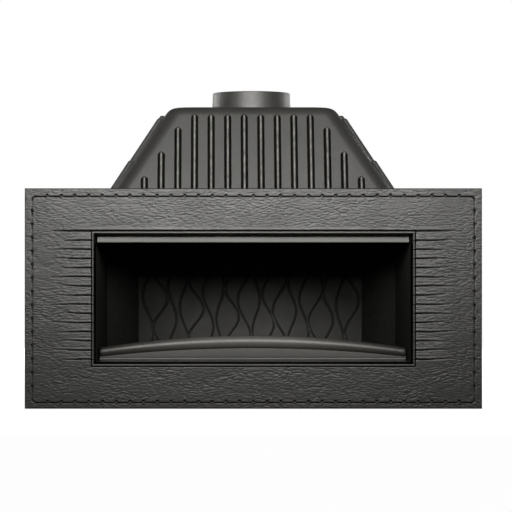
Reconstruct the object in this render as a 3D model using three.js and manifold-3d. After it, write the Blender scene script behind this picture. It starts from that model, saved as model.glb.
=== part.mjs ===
// Open cast-iron fireplace insert: a wide facade with a leather-like relief, a ribbed hood with its
// flue collar behind it, and a lined firebox with a fireback, an arched log guard, a grate and an ash pan.
// Millimetres, +Z up, the facade faces -Y. The origin is on the floor under the middle of the whole.
import * as THREE from 'three';
import { mergeVertices } from 'three/addons/utils/BufferGeometryUtils.js';
import Module from 'manifold-3d';

const wasm = await Module();
wasm.setup();

// ---------------------------------------------------------------- driving sizes

const seat = 0.3; // gap left between pieces that rest on each other
const overrun = 1; // how far a cutter runs past the face it cuts

// Facade
const facadeWidth = 1000;
const facadeHeight = 482;
const facadeLift = 2; // facade's lower edge above the floor
const facadeDepth = 26.5;
const facadeSkin = 8;
const facadeRim = 8;
const facadeEdge = 2; // chamfer of the outer front edge
const openingWidth = 699;
const openingHeight = 287;
const openingSill = 97; // opening's lower edge above the facade's lower edge
const beadWidth = 4;
const beadProud = 1.5;
const bevelRun = 5;
const bevelDepth = 12;
const revealWall = 8;
const trimGroove = 1.6;
const stitchInset = 17.5; // stitched line from the facade's edge
const stitchGroove = 2;
const pleatCount = 14;
const pleatPitch = 20;
const pleatGape = 4.4;
const pleatDepth = 3.2;
const pleatLength = 66;
const pleatScatter = 14; // how much the pleats differ in length
const pleatStart = 3.5; // gap between the bead and the first point of a pleat
const foldReach = 89; // the upper fold's run past the opening at each side
const foldRise = 5.5; // the upper fold above the opening
const bossRadius = 9;
const bossInset = 80; // facade bosses from the facade's side edges
const bossRise = 60; // lower bosses above the facade's lower edge
const bossDrop = 112; // upper bosses under the facade's upper edge

// Body
const bodyWidth = 720;
const bodyDepth = 444;
const bodyWall = 8;
const bodyHeight = 370;
const footHeight = 30;
const ledgeWidth = 12;
const ledgeHeight = 10;
const ribPitch = 36.9;
const ribHeight = 10.5;
const ribBase = 13;
const ribCrest = 4.6;
const ribShoulder = 3; // height of the rib's rounded crest
const ribSink = 2; // how deep a rib's foot runs into its wall
const ribEnd = 8; // body ribs stop this far from the wall's ends
const sideRibGap = 3; // between the last rib of a side wall and the bracket's leg
const backRibMargin = 45; // from the last rib of the back wall to the wall's end

// Hearth, grate and ash pan
const hearthThickness = 14;
const grateWidth = 436;
const grateDepth = 206;
const grateThickness = 8;
const grateLedge = 13; // width of the rebate that carries the grate
const slotColumns = 15;
const slotWidth = 13;
const grateBorder = 16;
const grateSpine = 12;
const ashBoxWall = 5;
const ashBoxDrop = 56; // height of the ash box under the hearth
const panPlay = 6; // room round the ash pan
const panWall = 2;
const panHeight = 38;
const panTaper = 8;
const panRim = 3;

// Firebox lining
const linerWall = 6;
const linerHeight = 295;
const linerTurn = 223; // where the liner meets the cheek, behind the body's front
const linerTaper = 16; // how much the liner leans in over its length
const cheekWall = 7;
const cheekDepth = 150;
const cheekTaper = 67;
const firebackWall = 14;
const firebackOverlap = 18; // fireback behind each cheek
const firebackGap = 1.5;
const firebackHeight = 288;
const waveCount = 18;
const waveWidth = 5;
const waveDepth = 3;
const waveReach = 13;
const waveLength = 150;
const waveSteps = 14;
const waveMargin = 22;
const clipWidth = 30;
const clipWall = 5;
const clipLip = 16;

// Lintel and front header
const headerWall = 8;
const lintelGap = 2.5; // lintel's web behind the header
const lintelWall = 8;
const lintelDrop = 15.5; // lintel's visible height under the opening's upper edge
const lintelShelf = 40;
const lintelShelfWall = 5;

// Hood and flue
const sealHeight = 3.4;
const sealWidth = 6;
const hoodHeight = 266.5;
const hoodTopWidth = 367;
const hoodWall = 7;
const hoodCorner = 35;
const hoodCrown = 30; // radius between the sloping faces and the top
const hoodInnerCrown = 6;
const roofMargin = 16; // hood's top past the collar's flange, front and back
const hoodFlange = 10;
const frontRibMargin = 49; // front ribs end this far from the hood's slanting edge
const sideRibMargin = 38;
const ribTopMargin = 18.5; // tallest ribs end this far under the hood's top
const shortestRib = 20;
const collarRadius = 90;
const collarDraft = 1.8;
const collarWall = 5.5;
const collarRise = 37.5;
const collarDrop = 64; // spigot under the hood's roof
const collarFlange = 14;
const collarFlangeWall = 8;
const collarSeal = 3;
const boltCount = 3;
const boltRadius = 3.7;
const boltHead = 6.5;
const boltHeadHeight = 5.3;

// Damper
const flapPlay = 4;
const flapWall = 5;
const spindleRadius = 5;
const spindleRise = 20; // spindle above the spigot's lower rim
const spindleReach = 22; // spindle past the spigot's wall
const flapHub = 8.5;
const crankWall = 6;
const crankLength = 45;
const crankLean = 40; // degrees above level with the flap open
const pinRadius = 4;
const rodRadius = 4;
const rodLength = 205;
const ringRadius = 14;
const eyeRadius = 8;

// Log guard
const guardSetback = 78; // middle of the roll behind the facade's front
const guardPlay = 2.5; // gap between the guard's ends and the liners
const guardMiddleRadius = 13.9;
const guardEndRadius = 10.4;
const guardRollHeight = 42; // middle of the roll above the hearth
const guardArch = 23;
const guardPlate = 8;
const guardBeadHeight = 4.6;
const guardBeadProud = 3;
const guardSteps = 28;
const guardFootX = 250;
const guardFootWidth = 26;
const guardFootReach = 24;
const guardPegRadius = 5;
const guardPegDrop = 8;
const pegPlay = 0.6;

// Feet, tie rods and facade brackets
const footLength = 60;
const footPad = 34;
const earReach = 26;
const earWidth = 28;
const rodClear = 0.5;
const tieRadius = 4;
const tieOffset = 16.5; // tie rod from the body's side
const tieInset = 34; // tie rod from the body's front and back
const nutRadius = 7.5;
const nutHeight = 6.5;
const bracketWidth = 30;
const bracketWall = 4;
const bracketLeg = 46;

// ---------------------------------------------------------------- places worked out from the sizes

const overallDepth = facadeDepth + seat + bodyDepth + ribHeight;
const at = (behindFront) => behindFront - overallDepth / 2;
const bodyFront = facadeDepth + seat;
const bodyMiddle = bodyFront + bodyDepth / 2;
const bodyBack = bodyFront + bodyDepth;
const bodyHalf = bodyWidth / 2;
const innerHalf = bodyHalf - bodyWall;
const innerBack = bodyBack - bodyWall;
const bodyTop = footHeight + bodyHeight;
const facadeFoot = facadeLift;
const facadeTop = facadeLift + facadeHeight;
const openingFoot = facadeLift + openingSill;
const openingTop = openingFoot + openingHeight;
const openingMiddle = (openingFoot + openingTop) / 2;
const hearthTop = openingFoot + bevelRun - overrun;
const hearthFoot = hearthTop - hearthThickness;
const gratePlace = bodyMiddle;
const wellWidth = grateWidth - 2 * grateLedge;
const wellDepth = grateDepth - 2 * grateLedge;
const ashBoxFoot = hearthFoot - seat - ashBoxDrop;
const linerFrontHalf = innerHalf - seat - linerWall;
const linerBackHalf = linerFrontHalf - linerTaper;
const linerFrontPlace = bodyFront + headerWall + seat;
const linerBackPlace = bodyFront + linerTurn;
const linerLean = linerTaper / (linerBackPlace - linerFrontPlace);
const cheekBackHalf = linerBackHalf - cheekTaper;
const cheekBackPlace = linerBackPlace + cheekDepth;
const cheekSpread = cheekWall * cheekTaper / Math.hypot(cheekTaper, cheekDepth);
const firebackFront = cheekBackPlace + cheekSpread + firebackGap;
const firebackFoot = hearthTop + seat;
const linerTop = hearthTop + seat + linerHeight;
const headerFoot = openingTop - bevelRun + seat;
const hoodFoot = bodyTop + 2 * seat + sealHeight;
const hoodTop = hoodFoot + hoodHeight;
const hoodTopDepth = 2 * (collarRadius + collarFlange + roofMargin);
const sideSlope = (bodyHalf - hoodTopWidth / 2) / hoodHeight;
const frontSlope = (bodyDepth / 2 - hoodTopDepth / 2) / hoodHeight;
const roof = hoodTop - hoodWall;
const collarTop = hoodTop + collarRise;
const collarFoot = roof - collarDrop;
const boreRadius = collarRadius - collarDraft - collarWall;
const flangeTop = roof - 2 * seat - collarSeal;
const flangeFoot = flangeTop - collarFlangeWall;
const flangeRadius = collarRadius + collarFlange;
const boltCircle = collarRadius + collarFlange / 2 + overrun;
const spindleZ = collarFoot + spindleRise;
const spindleEnd = collarRadius + spindleReach;
const crankX = spindleEnd - crankWall;
const crankAngle = THREE.MathUtils.degToRad(crankLean);
const pinY = at(bodyMiddle) - crankLength * Math.cos(crankAngle);
const pinZ = spindleZ + crankLength * Math.sin(crankAngle);
const guardHalf = linerFrontHalf - guardPlay
  - linerLean * (guardSetback + guardMiddleRadius - linerFrontPlace);
const tieX = bodyHalf + tieOffset;
const sideRibRoom = bodyDepth / 2 - bracketLeg - sideRibGap;
const backRibRoom = bodyHalf - backRibMargin;

// ---------------------------------------------------------------- solids from outlines

// A closed mesh from corner points and triangles, turned so that its faces point out.
function closedMesh(points, triangles) {
  let volume = 0;
  for (const [a, b, c] of triangles) {
    volume += points[a].dot(points[b].clone().cross(points[c]));
  }
  const index = triangles.flatMap(([a, b, c]) => (volume < 0 ? [a, c, b] : [a, b, c]));
  const geometry = new THREE.BufferGeometry().setFromPoints(points);
  geometry.setIndex(index);
  return geometry;
}

function toSolid(geometry) {
  const bare = geometry.clone();
  bare.deleteAttribute('normal');
  bare.deleteAttribute('uv');
  const merged = mergeVertices(bare);
  return new wasm.Manifold(new wasm.Mesh({
    numProp: 3,
    vertProperties: new Float32Array(merged.attributes.position.array),
    triVerts: new Uint32Array(merged.index.array),
  }));
}

function toGeometry(solid) {
  const mesh = solid.getMesh();
  const geometry = new THREE.BufferGeometry();
  geometry.setAttribute('position', new THREE.BufferAttribute(new Float32Array(mesh.vertProperties), 3));
  geometry.setIndex(new THREE.BufferAttribute(new Uint32Array(mesh.triVerts), 1));
  return geometry;
}

const join = (solids) => solids.reduce((whole, next) => whole.add(next));
const cut = (solid, cutters) => cutters.reduce((rest, next) => rest.subtract(next), solid);

function block(x0, x1, y0, y1, z0, z1) {
  const geometry = new THREE.BoxGeometry(x1 - x0, y1 - y0, z1 - z0);
  geometry.translate((x0 + x1) / 2, (y0 + y1) / 2, (z0 + z1) / 2);
  return toSolid(geometry);
}

// An outline of [x, z] points or a Shape, extruded along Y.
function slab(outline, y0, y1) {
  const shape = outline instanceof THREE.Shape ? outline : shapeOf(outline);
  const geometry = new THREE.ExtrudeGeometry(shape, { depth: y1 - y0, bevelEnabled: false });
  geometry.rotateX(Math.PI / 2);
  geometry.translate(0, y1, 0);
  return toSolid(geometry);
}

// An outline of [x, y] points or a Shape, extruded along Z.
function plate(outline, z0, z1) {
  const shape = outline instanceof THREE.Shape ? outline : shapeOf(outline);
  const geometry = new THREE.ExtrudeGeometry(shape, { depth: z1 - z0, bevelEnabled: false });
  geometry.translate(0, 0, z0);
  return toSolid(geometry);
}

// An outline of [y, z] points, extruded along X.
function rail(outline, x0, x1) {
  const geometry = new THREE.ExtrudeGeometry(shapeOf(outline), { depth: x1 - x0, bevelEnabled: false });
  geometry.applyMatrix4(new THREE.Matrix4().makeBasis(
    new THREE.Vector3(0, 1, 0), new THREE.Vector3(0, 0, 1), new THREE.Vector3(1, 0, 0)));
  geometry.translate(x0, 0, 0);
  return toSolid(geometry);
}

function shapeOf(outline) {
  return new THREE.Shape(outline.map(([a, b]) => new THREE.Vector2(a, b)));
}

const roundSides = 32;

function bar(axis, radius, from, to, [a, b], sides = roundSides) {
  const geometry = new THREE.CylinderGeometry(radius, radius, to - from, sides);
  const middle = (from + to) / 2;
  if (axis === 'x') {
    geometry.rotateZ(Math.PI / 2);
    geometry.translate(middle, a, b);
  } else if (axis === 'y') {
    geometry.translate(a, middle, b);
  } else {
    geometry.rotateX(Math.PI / 2);
    geometry.translate(a, b, middle);
  }
  return toSolid(geometry);
}

// A turned ring or boss: [radius, height] points that close on themselves, about a vertical axis.
function turned(profile, x, y, sides = roundSides) {
  const points = [...profile, profile[0]].map(([radius, height]) => new THREE.Vector2(radius, height));
  const geometry = new THREE.LatheGeometry(points, sides);
  geometry.rotateX(Math.PI / 2);
  geometry.translate(x, y, 0);
  const merged = toSolid(geometry);
  return merged.volume() < 0 ? toSolid(flipped(geometry)) : merged;
}

function flipped(geometry) {
  const copy = geometry.clone();
  const index = copy.index.array;
  for (let i = 0; i < index.length; i += 3) {
    [index[i + 1], index[i + 2]] = [index[i + 2], index[i + 1]];
  }
  return copy;
}

// A skin over rings of the same number of points, closed by a fan at each end.
function loft(rings) {
  const count = rings[0].length;
  const triangles = [];
  for (let level = 0; level + 1 < rings.length; level += 1) {
    for (let i = 0; i < count; i += 1) {
      const a = level * count + i;
      const b = level * count + ((i + 1) % count);
      triangles.push([a, b, b + count], [a, b + count, a + count]);
    }
  }
  const last = (rings.length - 1) * count;
  for (let i = 1; i + 1 < count; i += 1) {
    triangles.push([0, i + 1, i], [last, last + i, last + i + 1]);
  }
  return toSolid(closedMesh(rings.flat(), triangles));
}

// A section swept round a rectangle with mitred corners: [outward, behind the front] points.
function mitredFrame(section, halfWidth, zLow, zHigh) {
  const loops = section.map(([out, behind]) => [
    [-halfWidth - out, zLow - out], [halfWidth + out, zLow - out],
    [halfWidth + out, zHigh + out], [-halfWidth - out, zHigh + out],
  ].map(([x, z]) => new THREE.Vector3(x, at(behind), z)));
  const triangles = [];
  for (let i = 0; i < section.length; i += 1) {
    const next = (i + 1) % section.length;
    for (let corner = 0; corner < 4; corner += 1) {
      const turn = (corner + 1) % 4;
      const [a, b, c, d] = [i * 4 + corner, i * 4 + turn, next * 4 + turn, next * 4 + corner];
      triangles.push([a, b, c], [a, c, d]);
    }
  }
  return toSolid(closedMesh(loops.flat(), triangles));
}

const cornerSteps = 4;

// A level ring in the shape of a rectangle with round corners.
function roundedRing(halfWidth, halfDepth, radius, y, z) {
  const ring = [];
  for (let corner = 0; corner < 4; corner += 1) {
    const [signX, signY] = [[1, 1], [-1, 1], [-1, -1], [1, -1]][corner];
    for (let step = 0; step <= cornerSteps; step += 1) {
      const angle = (corner + step / cornerSteps) * Math.PI / 2;
      ring.push(new THREE.Vector3(
        signX * (halfWidth - radius) + radius * Math.cos(angle),
        y + signY * (halfDepth - radius) + radius * Math.sin(angle), z));
    }
  }
  return ring;
}

// An upright ring of [x, z] corners at one distance behind the front.
function uprightRing(halfWidth, zLow, zHigh, behind) {
  return [[-halfWidth, zLow], [halfWidth, zLow], [halfWidth, zHigh], [-halfWidth, zHigh]]
    .map(([x, z]) => new THREE.Vector3(x, at(behind), z));
}

const ribEndSteps = 4;

// A raised rib: straight flanks, rounded crest and a round upper end.
function rib(origin, up, out, length) {
  const ring = (halfWidth, height) => {
    const points = [[-halfWidth, 0], [halfWidth, 0]];
    for (let step = 0; step <= ribEndSteps; step += 1) {
      const angle = Math.PI * step / ribEndSteps;
      points.push([halfWidth * Math.cos(angle), length - ribBase / 2 + halfWidth * Math.sin(angle)]);
    }
    return points.map(([x, y]) => new THREE.Vector3(x, y, height));
  };
  const rings = [
    ring(ribBase / 2, -ribSink),
    ring((ribBase * 2 + ribCrest * 3) / 10, ribHeight - ribShoulder),
    ring(ribCrest / 2, ribHeight),
  ];
  const side = up.clone().cross(out);
  const place = new THREE.Matrix4().makeBasis(side, up, out).setPosition(origin);
  return loft(rings.map((points) => points.map((point) => point.clone().applyMatrix4(place))));
}

// Places of ribs on both sides of the middle, as many as the room on one side allows.
function pairPlaces(room) {
  const pairs = Math.floor((room - ribBase / 2) / ribPitch + 0.5);
  return Array.from({ length: pairs }, (_, i) => (i + 0.5) * ribPitch).flatMap((place) => [-place, place]);
}

// ---------------------------------------------------------------- facade

function facadeFoldCutters() {
  const foldZ = openingTop + foldRise;
  const half = openingWidth / 2 + foldReach;
  const fold = [[-half, 0], [-openingWidth / 2, -1], [openingWidth / 2, -1], [half, 0],
    [openingWidth / 2, 1], [-openingWidth / 2, 1]];
  const mouth = fold.map(([x, side]) => [x, foldZ + side * pleatGape / 4]);
  return [slab(mouth, at(0), at(beadProud + pleatDepth))];
}

// One gathered fold: a wedge, widest and deepest at the trim, that runs out to nothing.
function pleatCutter(sign, z, length) {
  const start = sign * (openingWidth / 2 + beadWidth + pleatStart);
  const end = start + sign * length;
  const face = at(beadProud);
  const front = face - overrun;
  const lip = pleatGape / 2;
  const slant = lip * overrun / pleatDepth;
  const points = [
    new THREE.Vector3(start, front, z - lip - slant), new THREE.Vector3(start, front, z + lip + slant),
    new THREE.Vector3(start, face + pleatDepth, z + lip / 2),
    new THREE.Vector3(end, front, z), new THREE.Vector3(end, front, z + overrun / 2),
    new THREE.Vector3(end, face + overrun / 10, z),
  ];
  const triangles = [[0, 2, 1], [3, 4, 5], [0, 1, 4], [0, 4, 3], [1, 2, 5], [1, 5, 4], [2, 0, 3], [2, 3, 5]];
  return toSolid(closedMesh(points, triangles));
}

function pleatCutters() {
  const cutters = [];
  const lowest = openingMiddle - (pleatCount - 1) * pleatPitch / 2 - pleatGape / 2;
  for (let i = 0; i < pleatCount; i += 1) {
    for (const sign of [-1, 1]) {
      const length = pleatLength + pleatScatter * Math.sin(i * 2.4 + sign);
      cutters.push(pleatCutter(sign, lowest + i * pleatPitch, length));
    }
  }
  return cutters;
}

function grooveFrame(width, depth, halfWidth, zLow, zHigh) {
  const face = beadProud;
  return mitredFrame([[-width / 2, face - overrun], [width / 2, face - overrun],
    [width / 2, face], [0, face + depth], [-width / 2, face]], halfWidth, zLow, zHigh);
}

function facade() {
  const half = facadeWidth / 2;
  const face = beadProud;
  const panel = loft([
    uprightRing(half - facadeEdge, facadeFoot + facadeEdge, facadeTop - facadeEdge, face),
    uprightRing(half, facadeFoot, facadeTop, face + facadeEdge),
    uprightRing(half, facadeFoot, facadeTop, facadeDepth),
  ]);
  const hollow = block(-half + facadeRim, half - facadeRim, at(face + facadeSkin), at(facadeDepth + overrun),
    facadeFoot + facadeRim, facadeTop - facadeRim);
  const opening = openingWidth / 2;
  const inner = opening - bevelRun;
  const reveal = block(-inner - revealWall, inner + revealWall, at(face), at(facadeDepth),
    openingFoot + bevelRun - revealWall, openingTop - bevelRun + revealWall);
  const bead = mitredFrame([[0, face + overrun], [0, face], [beadWidth / 4, 0], [beadWidth * 0.75, 0],
    [beadWidth, face], [beadWidth, face + overrun]], opening, openingFoot, openingTop);
  const mouth = loft([
    uprightRing(opening, openingFoot, openingTop, -overrun),
    uprightRing(opening, openingFoot, openingTop, face),
    uprightRing(inner, openingFoot + bevelRun, openingTop - bevelRun, bevelDepth),
    uprightRing(inner, openingFoot + bevelRun, openingTop - bevelRun, facadeDepth + overrun),
  ]);
  const bossX = half - bossInset;
  const bosses = [-1, 1].flatMap((side) => [facadeFoot + bossRise, facadeTop - bossDrop]
    .map((z) => bar('y', bossRadius, at(face + facadeSkin - overrun), at(facadeDepth), [side * bossX, z])));
  const trimLine = grooveFrame(trimGroove, trimGroove, opening + beadWidth + trimGroove / 2,
    openingFoot - beadWidth - trimGroove / 2, openingTop + beadWidth + trimGroove / 2);
  const stitchLine = grooveFrame(stitchGroove, stitchGroove, half - stitchInset,
    facadeFoot + stitchInset, facadeTop - stitchInset);
  const shell = join([cut(panel, [hollow]), reveal, bead, ...bosses]);
  return cut(shell, [mouth, trimLine, stitchLine, ...facadeFoldCutters(), ...pleatCutters()]);
}

// A bent strap that ties a facade boss to the body's side wall, with its two bolt heads.
function facadeBracket(side, z) {
  const bossX = facadeWidth / 2 - bossInset;
  const low = z - bracketWidth / 2;
  const high = z + bracketWidth / 2;
  const front = at(facadeDepth + seat);
  const outer = bodyHalf + seat;
  const x = (value) => side * value;
  const span = (a, b) => [Math.min(x(a), x(b)), Math.max(x(a), x(b))];
  const arm = block(...span(outer, bossX + bossRadius), front, front + bracketWall, low, high);
  const leg = block(...span(outer, outer + bracketWall), front, front + bracketLeg, low, high);
  const bossBolt = bar('y', boltHead, front + bracketWall - overrun, front + bracketWall + boltHeadHeight,
    [x(bossX), z], 6);
  const wallBolt = bar('x', boltHead, ...span(outer + bracketWall - overrun,
    outer + bracketWall + boltHeadHeight), [front + bracketLeg / 2 + bracketWall, z], 6);
  return join([arm, leg, bossBolt, wallBolt]);
}

// ---------------------------------------------------------------- body

function sideWall(side) {
  const near = side * innerHalf;
  const far = side * bodyHalf;
  const wall = block(Math.min(near, far), Math.max(near, far), at(bodyFront), at(bodyBack),
    footHeight, bodyTop);
  const ledgeNear = side * (innerHalf - ledgeWidth);
  const ledgeFar = side * (innerHalf + overrun);
  const ledge = block(Math.min(ledgeNear, ledgeFar), Math.max(ledgeNear, ledgeFar),
    at(bodyFront + headerWall + 2 * ledgeHeight), at(innerBack - 2 * ledgeHeight),
    hearthFoot - seat - ledgeHeight, hearthFoot - seat);
  const up = new THREE.Vector3(0, 0, 1);
  const out = new THREE.Vector3(side, 0, 0);
  const ribs = pairPlaces(sideRibRoom).map((place) => rib(
    new THREE.Vector3(far, at(bodyMiddle) + place, footHeight + ribEnd), up, out, bodyHeight - 2 * ribEnd));
  return join([wall, ledge, ...ribs]);
}

function backWall() {
  const half = innerHalf - seat;
  const wall = block(-half, half, at(innerBack), at(bodyBack), footHeight, bodyTop);
  const ledge = block(-half + 2 * ledgeWidth, half - 2 * ledgeWidth, at(innerBack - ledgeWidth),
    at(innerBack + overrun), hearthFoot - seat - ledgeHeight, hearthFoot - seat);
  const up = new THREE.Vector3(0, 0, 1);
  const out = new THREE.Vector3(0, 1, 0);
  const ribs = pairPlaces(backRibRoom).map((place) => rib(
    new THREE.Vector3(place, at(bodyBack), footHeight + ribEnd), up, out, bodyHeight - 2 * ribEnd));
  return join([wall, ledge, ...ribs]);
}

function frontApron() {
  const half = innerHalf - seat;
  return block(-half, half, at(bodyFront), at(bodyFront + headerWall), footHeight, hearthFoot - seat);
}

function frontHeader() {
  const half = innerHalf - seat;
  return block(-half, half, at(bodyFront), at(bodyFront + headerWall), headerFoot, bodyTop);
}

// A cast foot: a pad that widens to a plate under the wall, with an ear for the tie rod.
function foot(side, end) {
  const outer = bodyHalf;
  const y = end < 0 ? at(bodyFront) + footLength / 2 : at(bodyBack) - footLength / 2;
  const x = side * (outer - footLength / 2);
  const top = footHeight - seat;
  const plateFoot = top - nutHeight;
  const ring = (half, z) => [[-half, -half], [half, -half], [half, half], [-half, half]]
    .map(([dx, dy]) => new THREE.Vector3(x + dx, y + dy, z));
  const leg = loft([ring(footPad / 2, 0), ring(footLength / 2, plateFoot), ring(footLength / 2, top)]);
  return cut(join([leg, ear(side, end, plateFoot, top)]), [tieHole(side, end, plateFoot, top)]);
}

function tieY(end) {
  return end < 0 ? at(bodyFront + tieInset) : at(bodyBack - tieInset);
}

function ear(side, end, z0, z1) {
  const y = tieY(end);
  const x = side * (tieX);
  const round = bar('z', earWidth / 2, z0, z1, [x, y], 20);
  const near = side * (bodyHalf - earReach);
  return join([round, block(Math.min(near, x), Math.max(near, x), y - earWidth / 2, y + earWidth / 2, z0, z1)]);
}

function tieHole(side, end, z0, z1) {
  return bar('z', tieRadius + rodClear, z0 - overrun, z1 + overrun, [side * tieX, tieY(end)], 16);
}

// A long stud with its nuts, which clamps the hood down on the body.
function tieRod(side, end) {
  const place = [side * tieX, tieY(end)];
  const lowNut = footHeight - seat - nutHeight - seat;
  const highNut = hoodFoot + hoodFlange + seat;
  return join([
    bar('z', tieRadius, lowNut - nutHeight - overrun, highNut + nutHeight + tieRadius, place, 12),
    bar('z', nutRadius, lowNut - nutHeight, lowNut, place, 6),
    bar('z', nutRadius, highNut, highNut + nutHeight, place, 6),
  ]);
}

// ---------------------------------------------------------------- hearth

function hearthPlate() {
  const half = innerHalf - seat;
  const floor = block(-half, half, at(bodyFront), at(innerBack - seat), hearthFoot, hearthTop);
  const y = at(gratePlace);
  const rebate = block(-grateWidth / 2, grateWidth / 2, y - grateDepth / 2, y + grateDepth / 2,
    hearthTop - grateThickness - seat, hearthTop + overrun);
  const well = block(-wellWidth / 2, wellWidth / 2, y - wellDepth / 2, y + wellDepth / 2,
    hearthFoot - overrun, hearthTop + overrun);
  const sockets = [-1, 1].map((side) => bar('z', guardPegRadius + pegPlay, hearthTop - guardPegDrop - pegPlay,
    hearthTop + overrun, [side * guardFootX, guardPegY()], 16));
  return cut(floor, [rebate, well, ...sockets]);
}

function grate() {
  const y = at(gratePlace);
  const halfWidth = grateWidth / 2 - seat;
  const halfDepth = grateDepth / 2 - seat;
  const body = block(-halfWidth, halfWidth, y - halfDepth, y + halfDepth, hearthTop - grateThickness, hearthTop);
  const pitch = (2 * (halfWidth - grateBorder) + grateSpine) / slotColumns;
  const slots = [];
  for (let column = 0; column < slotColumns; column += 1) {
    const x = (column - (slotColumns - 1) / 2) * pitch;
    for (const row of [-1, 1]) {
      const inner = y + row * grateSpine / 2;
      const outer = y + row * (halfDepth - grateBorder);
      slots.push(block(x - slotWidth / 2, x + slotWidth / 2, Math.min(inner, outer), Math.max(inner, outer),
        hearthTop - grateThickness - overrun, hearthTop + overrun));
    }
  }
  return cut(body, slots);
}

function ashBox() {
  const y = at(gratePlace);
  const top = hearthFoot - seat;
  const halfWidth = wellWidth / 2;
  const halfDepth = wellDepth / 2;
  const shell = block(-halfWidth - ashBoxWall, halfWidth + ashBoxWall, y - halfDepth - ashBoxWall,
    y + halfDepth + ashBoxWall, ashBoxFoot, top);
  const hollow = block(-halfWidth, halfWidth, y - halfDepth, y + halfDepth, ashBoxFoot + ashBoxWall,
    top + overrun);
  return cut(shell, [hollow]);
}

function ashPan() {
  const y = at(gratePlace);
  const low = ashBoxFoot + ashBoxWall + seat;
  const high = low + panHeight;
  const halfWidth = wellWidth / 2 - panPlay;
  const halfDepth = wellDepth / 2 - panPlay;
  const ring = (inset, z) => roundedRing(halfWidth - inset, halfDepth - inset, panTaper, y, z);
  const outside = loft([ring(panTaper, low), ring(panRim, high - panRim), ring(0, high - panRim), ring(0, high)]);
  const inside = loft([ring(panTaper + panWall, low + panWall), ring(panRim + panWall, high - panRim),
    ring(panRim + panWall, high + overrun)]);
  return cut(outside, [inside]);
}

// ---------------------------------------------------------------- lining

// A plate standing on the hearth, from one plan point to another: [x, behind the front].
function standingPlate(from, to, wall, side, height) {
  const run = new THREE.Vector2(to[0] - from[0], to[1] - from[1]).normalize();
  const away = new THREE.Vector2(run.y, -run.x).multiplyScalar(wall);
  const outline = [from, to, [to[0] + away.x, to[1] + away.y], [from[0] + away.x, from[1] + away.y]]
    .map(([x, behind]) => [side * x, at(behind)]);
  return plate(outline, hearthTop + seat, hearthTop + seat + height);
}

function sideLiner(side) {
  return standingPlate([linerFrontHalf, linerFrontPlace], [linerBackHalf, linerBackPlace - seat], linerWall,
    side, linerHeight);
}

function cheek(side) {
  return standingPlate([linerBackHalf, linerBackPlace + seat], [cheekBackHalf, cheekBackPlace],
    cheekWall, side, firebackHeight);
}

// One wavy groove of the fireback, wider across where it runs aslant.
function waveCutter(index) {
  const half = cheekBackHalf - waveMargin;
  const middle = -half + 2 * half * index / (waveCount - 1);
  const reach = waveReach * (1 + 0.35 * Math.sin(index * 1.9));
  const length = waveLength * (1 + 0.12 * Math.cos(index * 2.3));
  const phase = index * 2.4;
  const height = firebackHeight - waveMargin;
  const rings = [];
  for (let step = 0; step <= waveSteps; step += 1) {
    const rise = waveMargin / 2 + height * step / waveSteps;
    const angle = 2 * Math.PI * rise / length + phase;
    const x = middle + reach * Math.sin(angle);
    const slant = reach * 2 * Math.PI / length * Math.cos(angle);
    const halfWidth = waveWidth / 2 * Math.sqrt(1 + slant * slant);
    rings.push([[-halfWidth, -overrun], [halfWidth, -overrun], [halfWidth / 2, waveDepth],
      [-halfWidth / 2, waveDepth]].map(([dx, deep]) => new THREE.Vector3(x + dx,
      at(firebackFront + deep), firebackFoot + rise)));
  }
  return loft(rings);
}

function fireback() {
  const half = cheekBackHalf + firebackOverlap;
  const slabSolid = block(-half, half, at(firebackFront), at(firebackFront + firebackWall), firebackFoot,
    firebackFoot + firebackHeight);
  return cut(slabSolid, Array.from({ length: waveCount }, (_, index) => waveCutter(index)));
}

// A hook from the back wall over the fireback's upper edge.
function firebackClip(side) {
  const x = side * cheekBackHalf / 2;
  const foot = firebackFoot + firebackHeight + seat;
  const lipBack = firebackFront - seat;
  const outline = [
    [at(innerBack - seat), foot], [at(innerBack - seat), foot + clipWall],
    [at(lipBack - clipWall), foot + clipWall], [at(lipBack - clipWall), foot - clipLip],
    [at(lipBack), foot - clipLip], [at(lipBack), foot],
  ];
  return rail(outline, x - clipWidth / 2, x + clipWidth / 2);
}

// A stepped casting over the fire: its thick nose stands right behind the facade and shows under the
// opening's upper edge, its web rises behind the header, and its shelf lies on the liners.
function lintel() {
  const lip = bodyFront + seat;
  const front = bodyFront + headerWall + lintelGap;
  const nose = openingTop - bevelRun - lintelDrop;
  const noseTop = headerFoot - seat;
  const shelfFoot = linerTop + seat;
  const shelfTop = shelfFoot + lintelShelfWall;
  const noseHalf = linerFrontHalf - linerLean * (front + lintelShelf - linerFrontPlace) - seat;
  const bend = lintelWall / 2;
  const noseOutline = [];
  for (const [centre, start] of [[lip + bend, 1], [front + lintelWall - bend, 1.5]]) {
    for (let step = 0; step <= cornerSteps / 2; step += 1) {
      const angle = Math.PI * (start + step / cornerSteps);
      noseOutline.push([at(centre) + bend * Math.cos(angle), nose + bend + bend * Math.sin(angle)]);
    }
  }
  noseOutline.push([at(front + lintelWall), shelfTop], [at(front), shelfTop], [at(front), noseTop],
    [at(lip), noseTop]);
  const shelfOutline = [[at(front), shelfFoot], [at(front + lintelShelf), shelfFoot],
    [at(front + lintelShelf), shelfTop], [at(front), shelfTop]];
  const shelfHalf = innerHalf - 2 * seat;
  return join([rail(noseOutline, -noseHalf, noseHalf), rail(shelfOutline, -shelfHalf, shelfHalf)]);
}

// ---------------------------------------------------------------- hood

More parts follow.
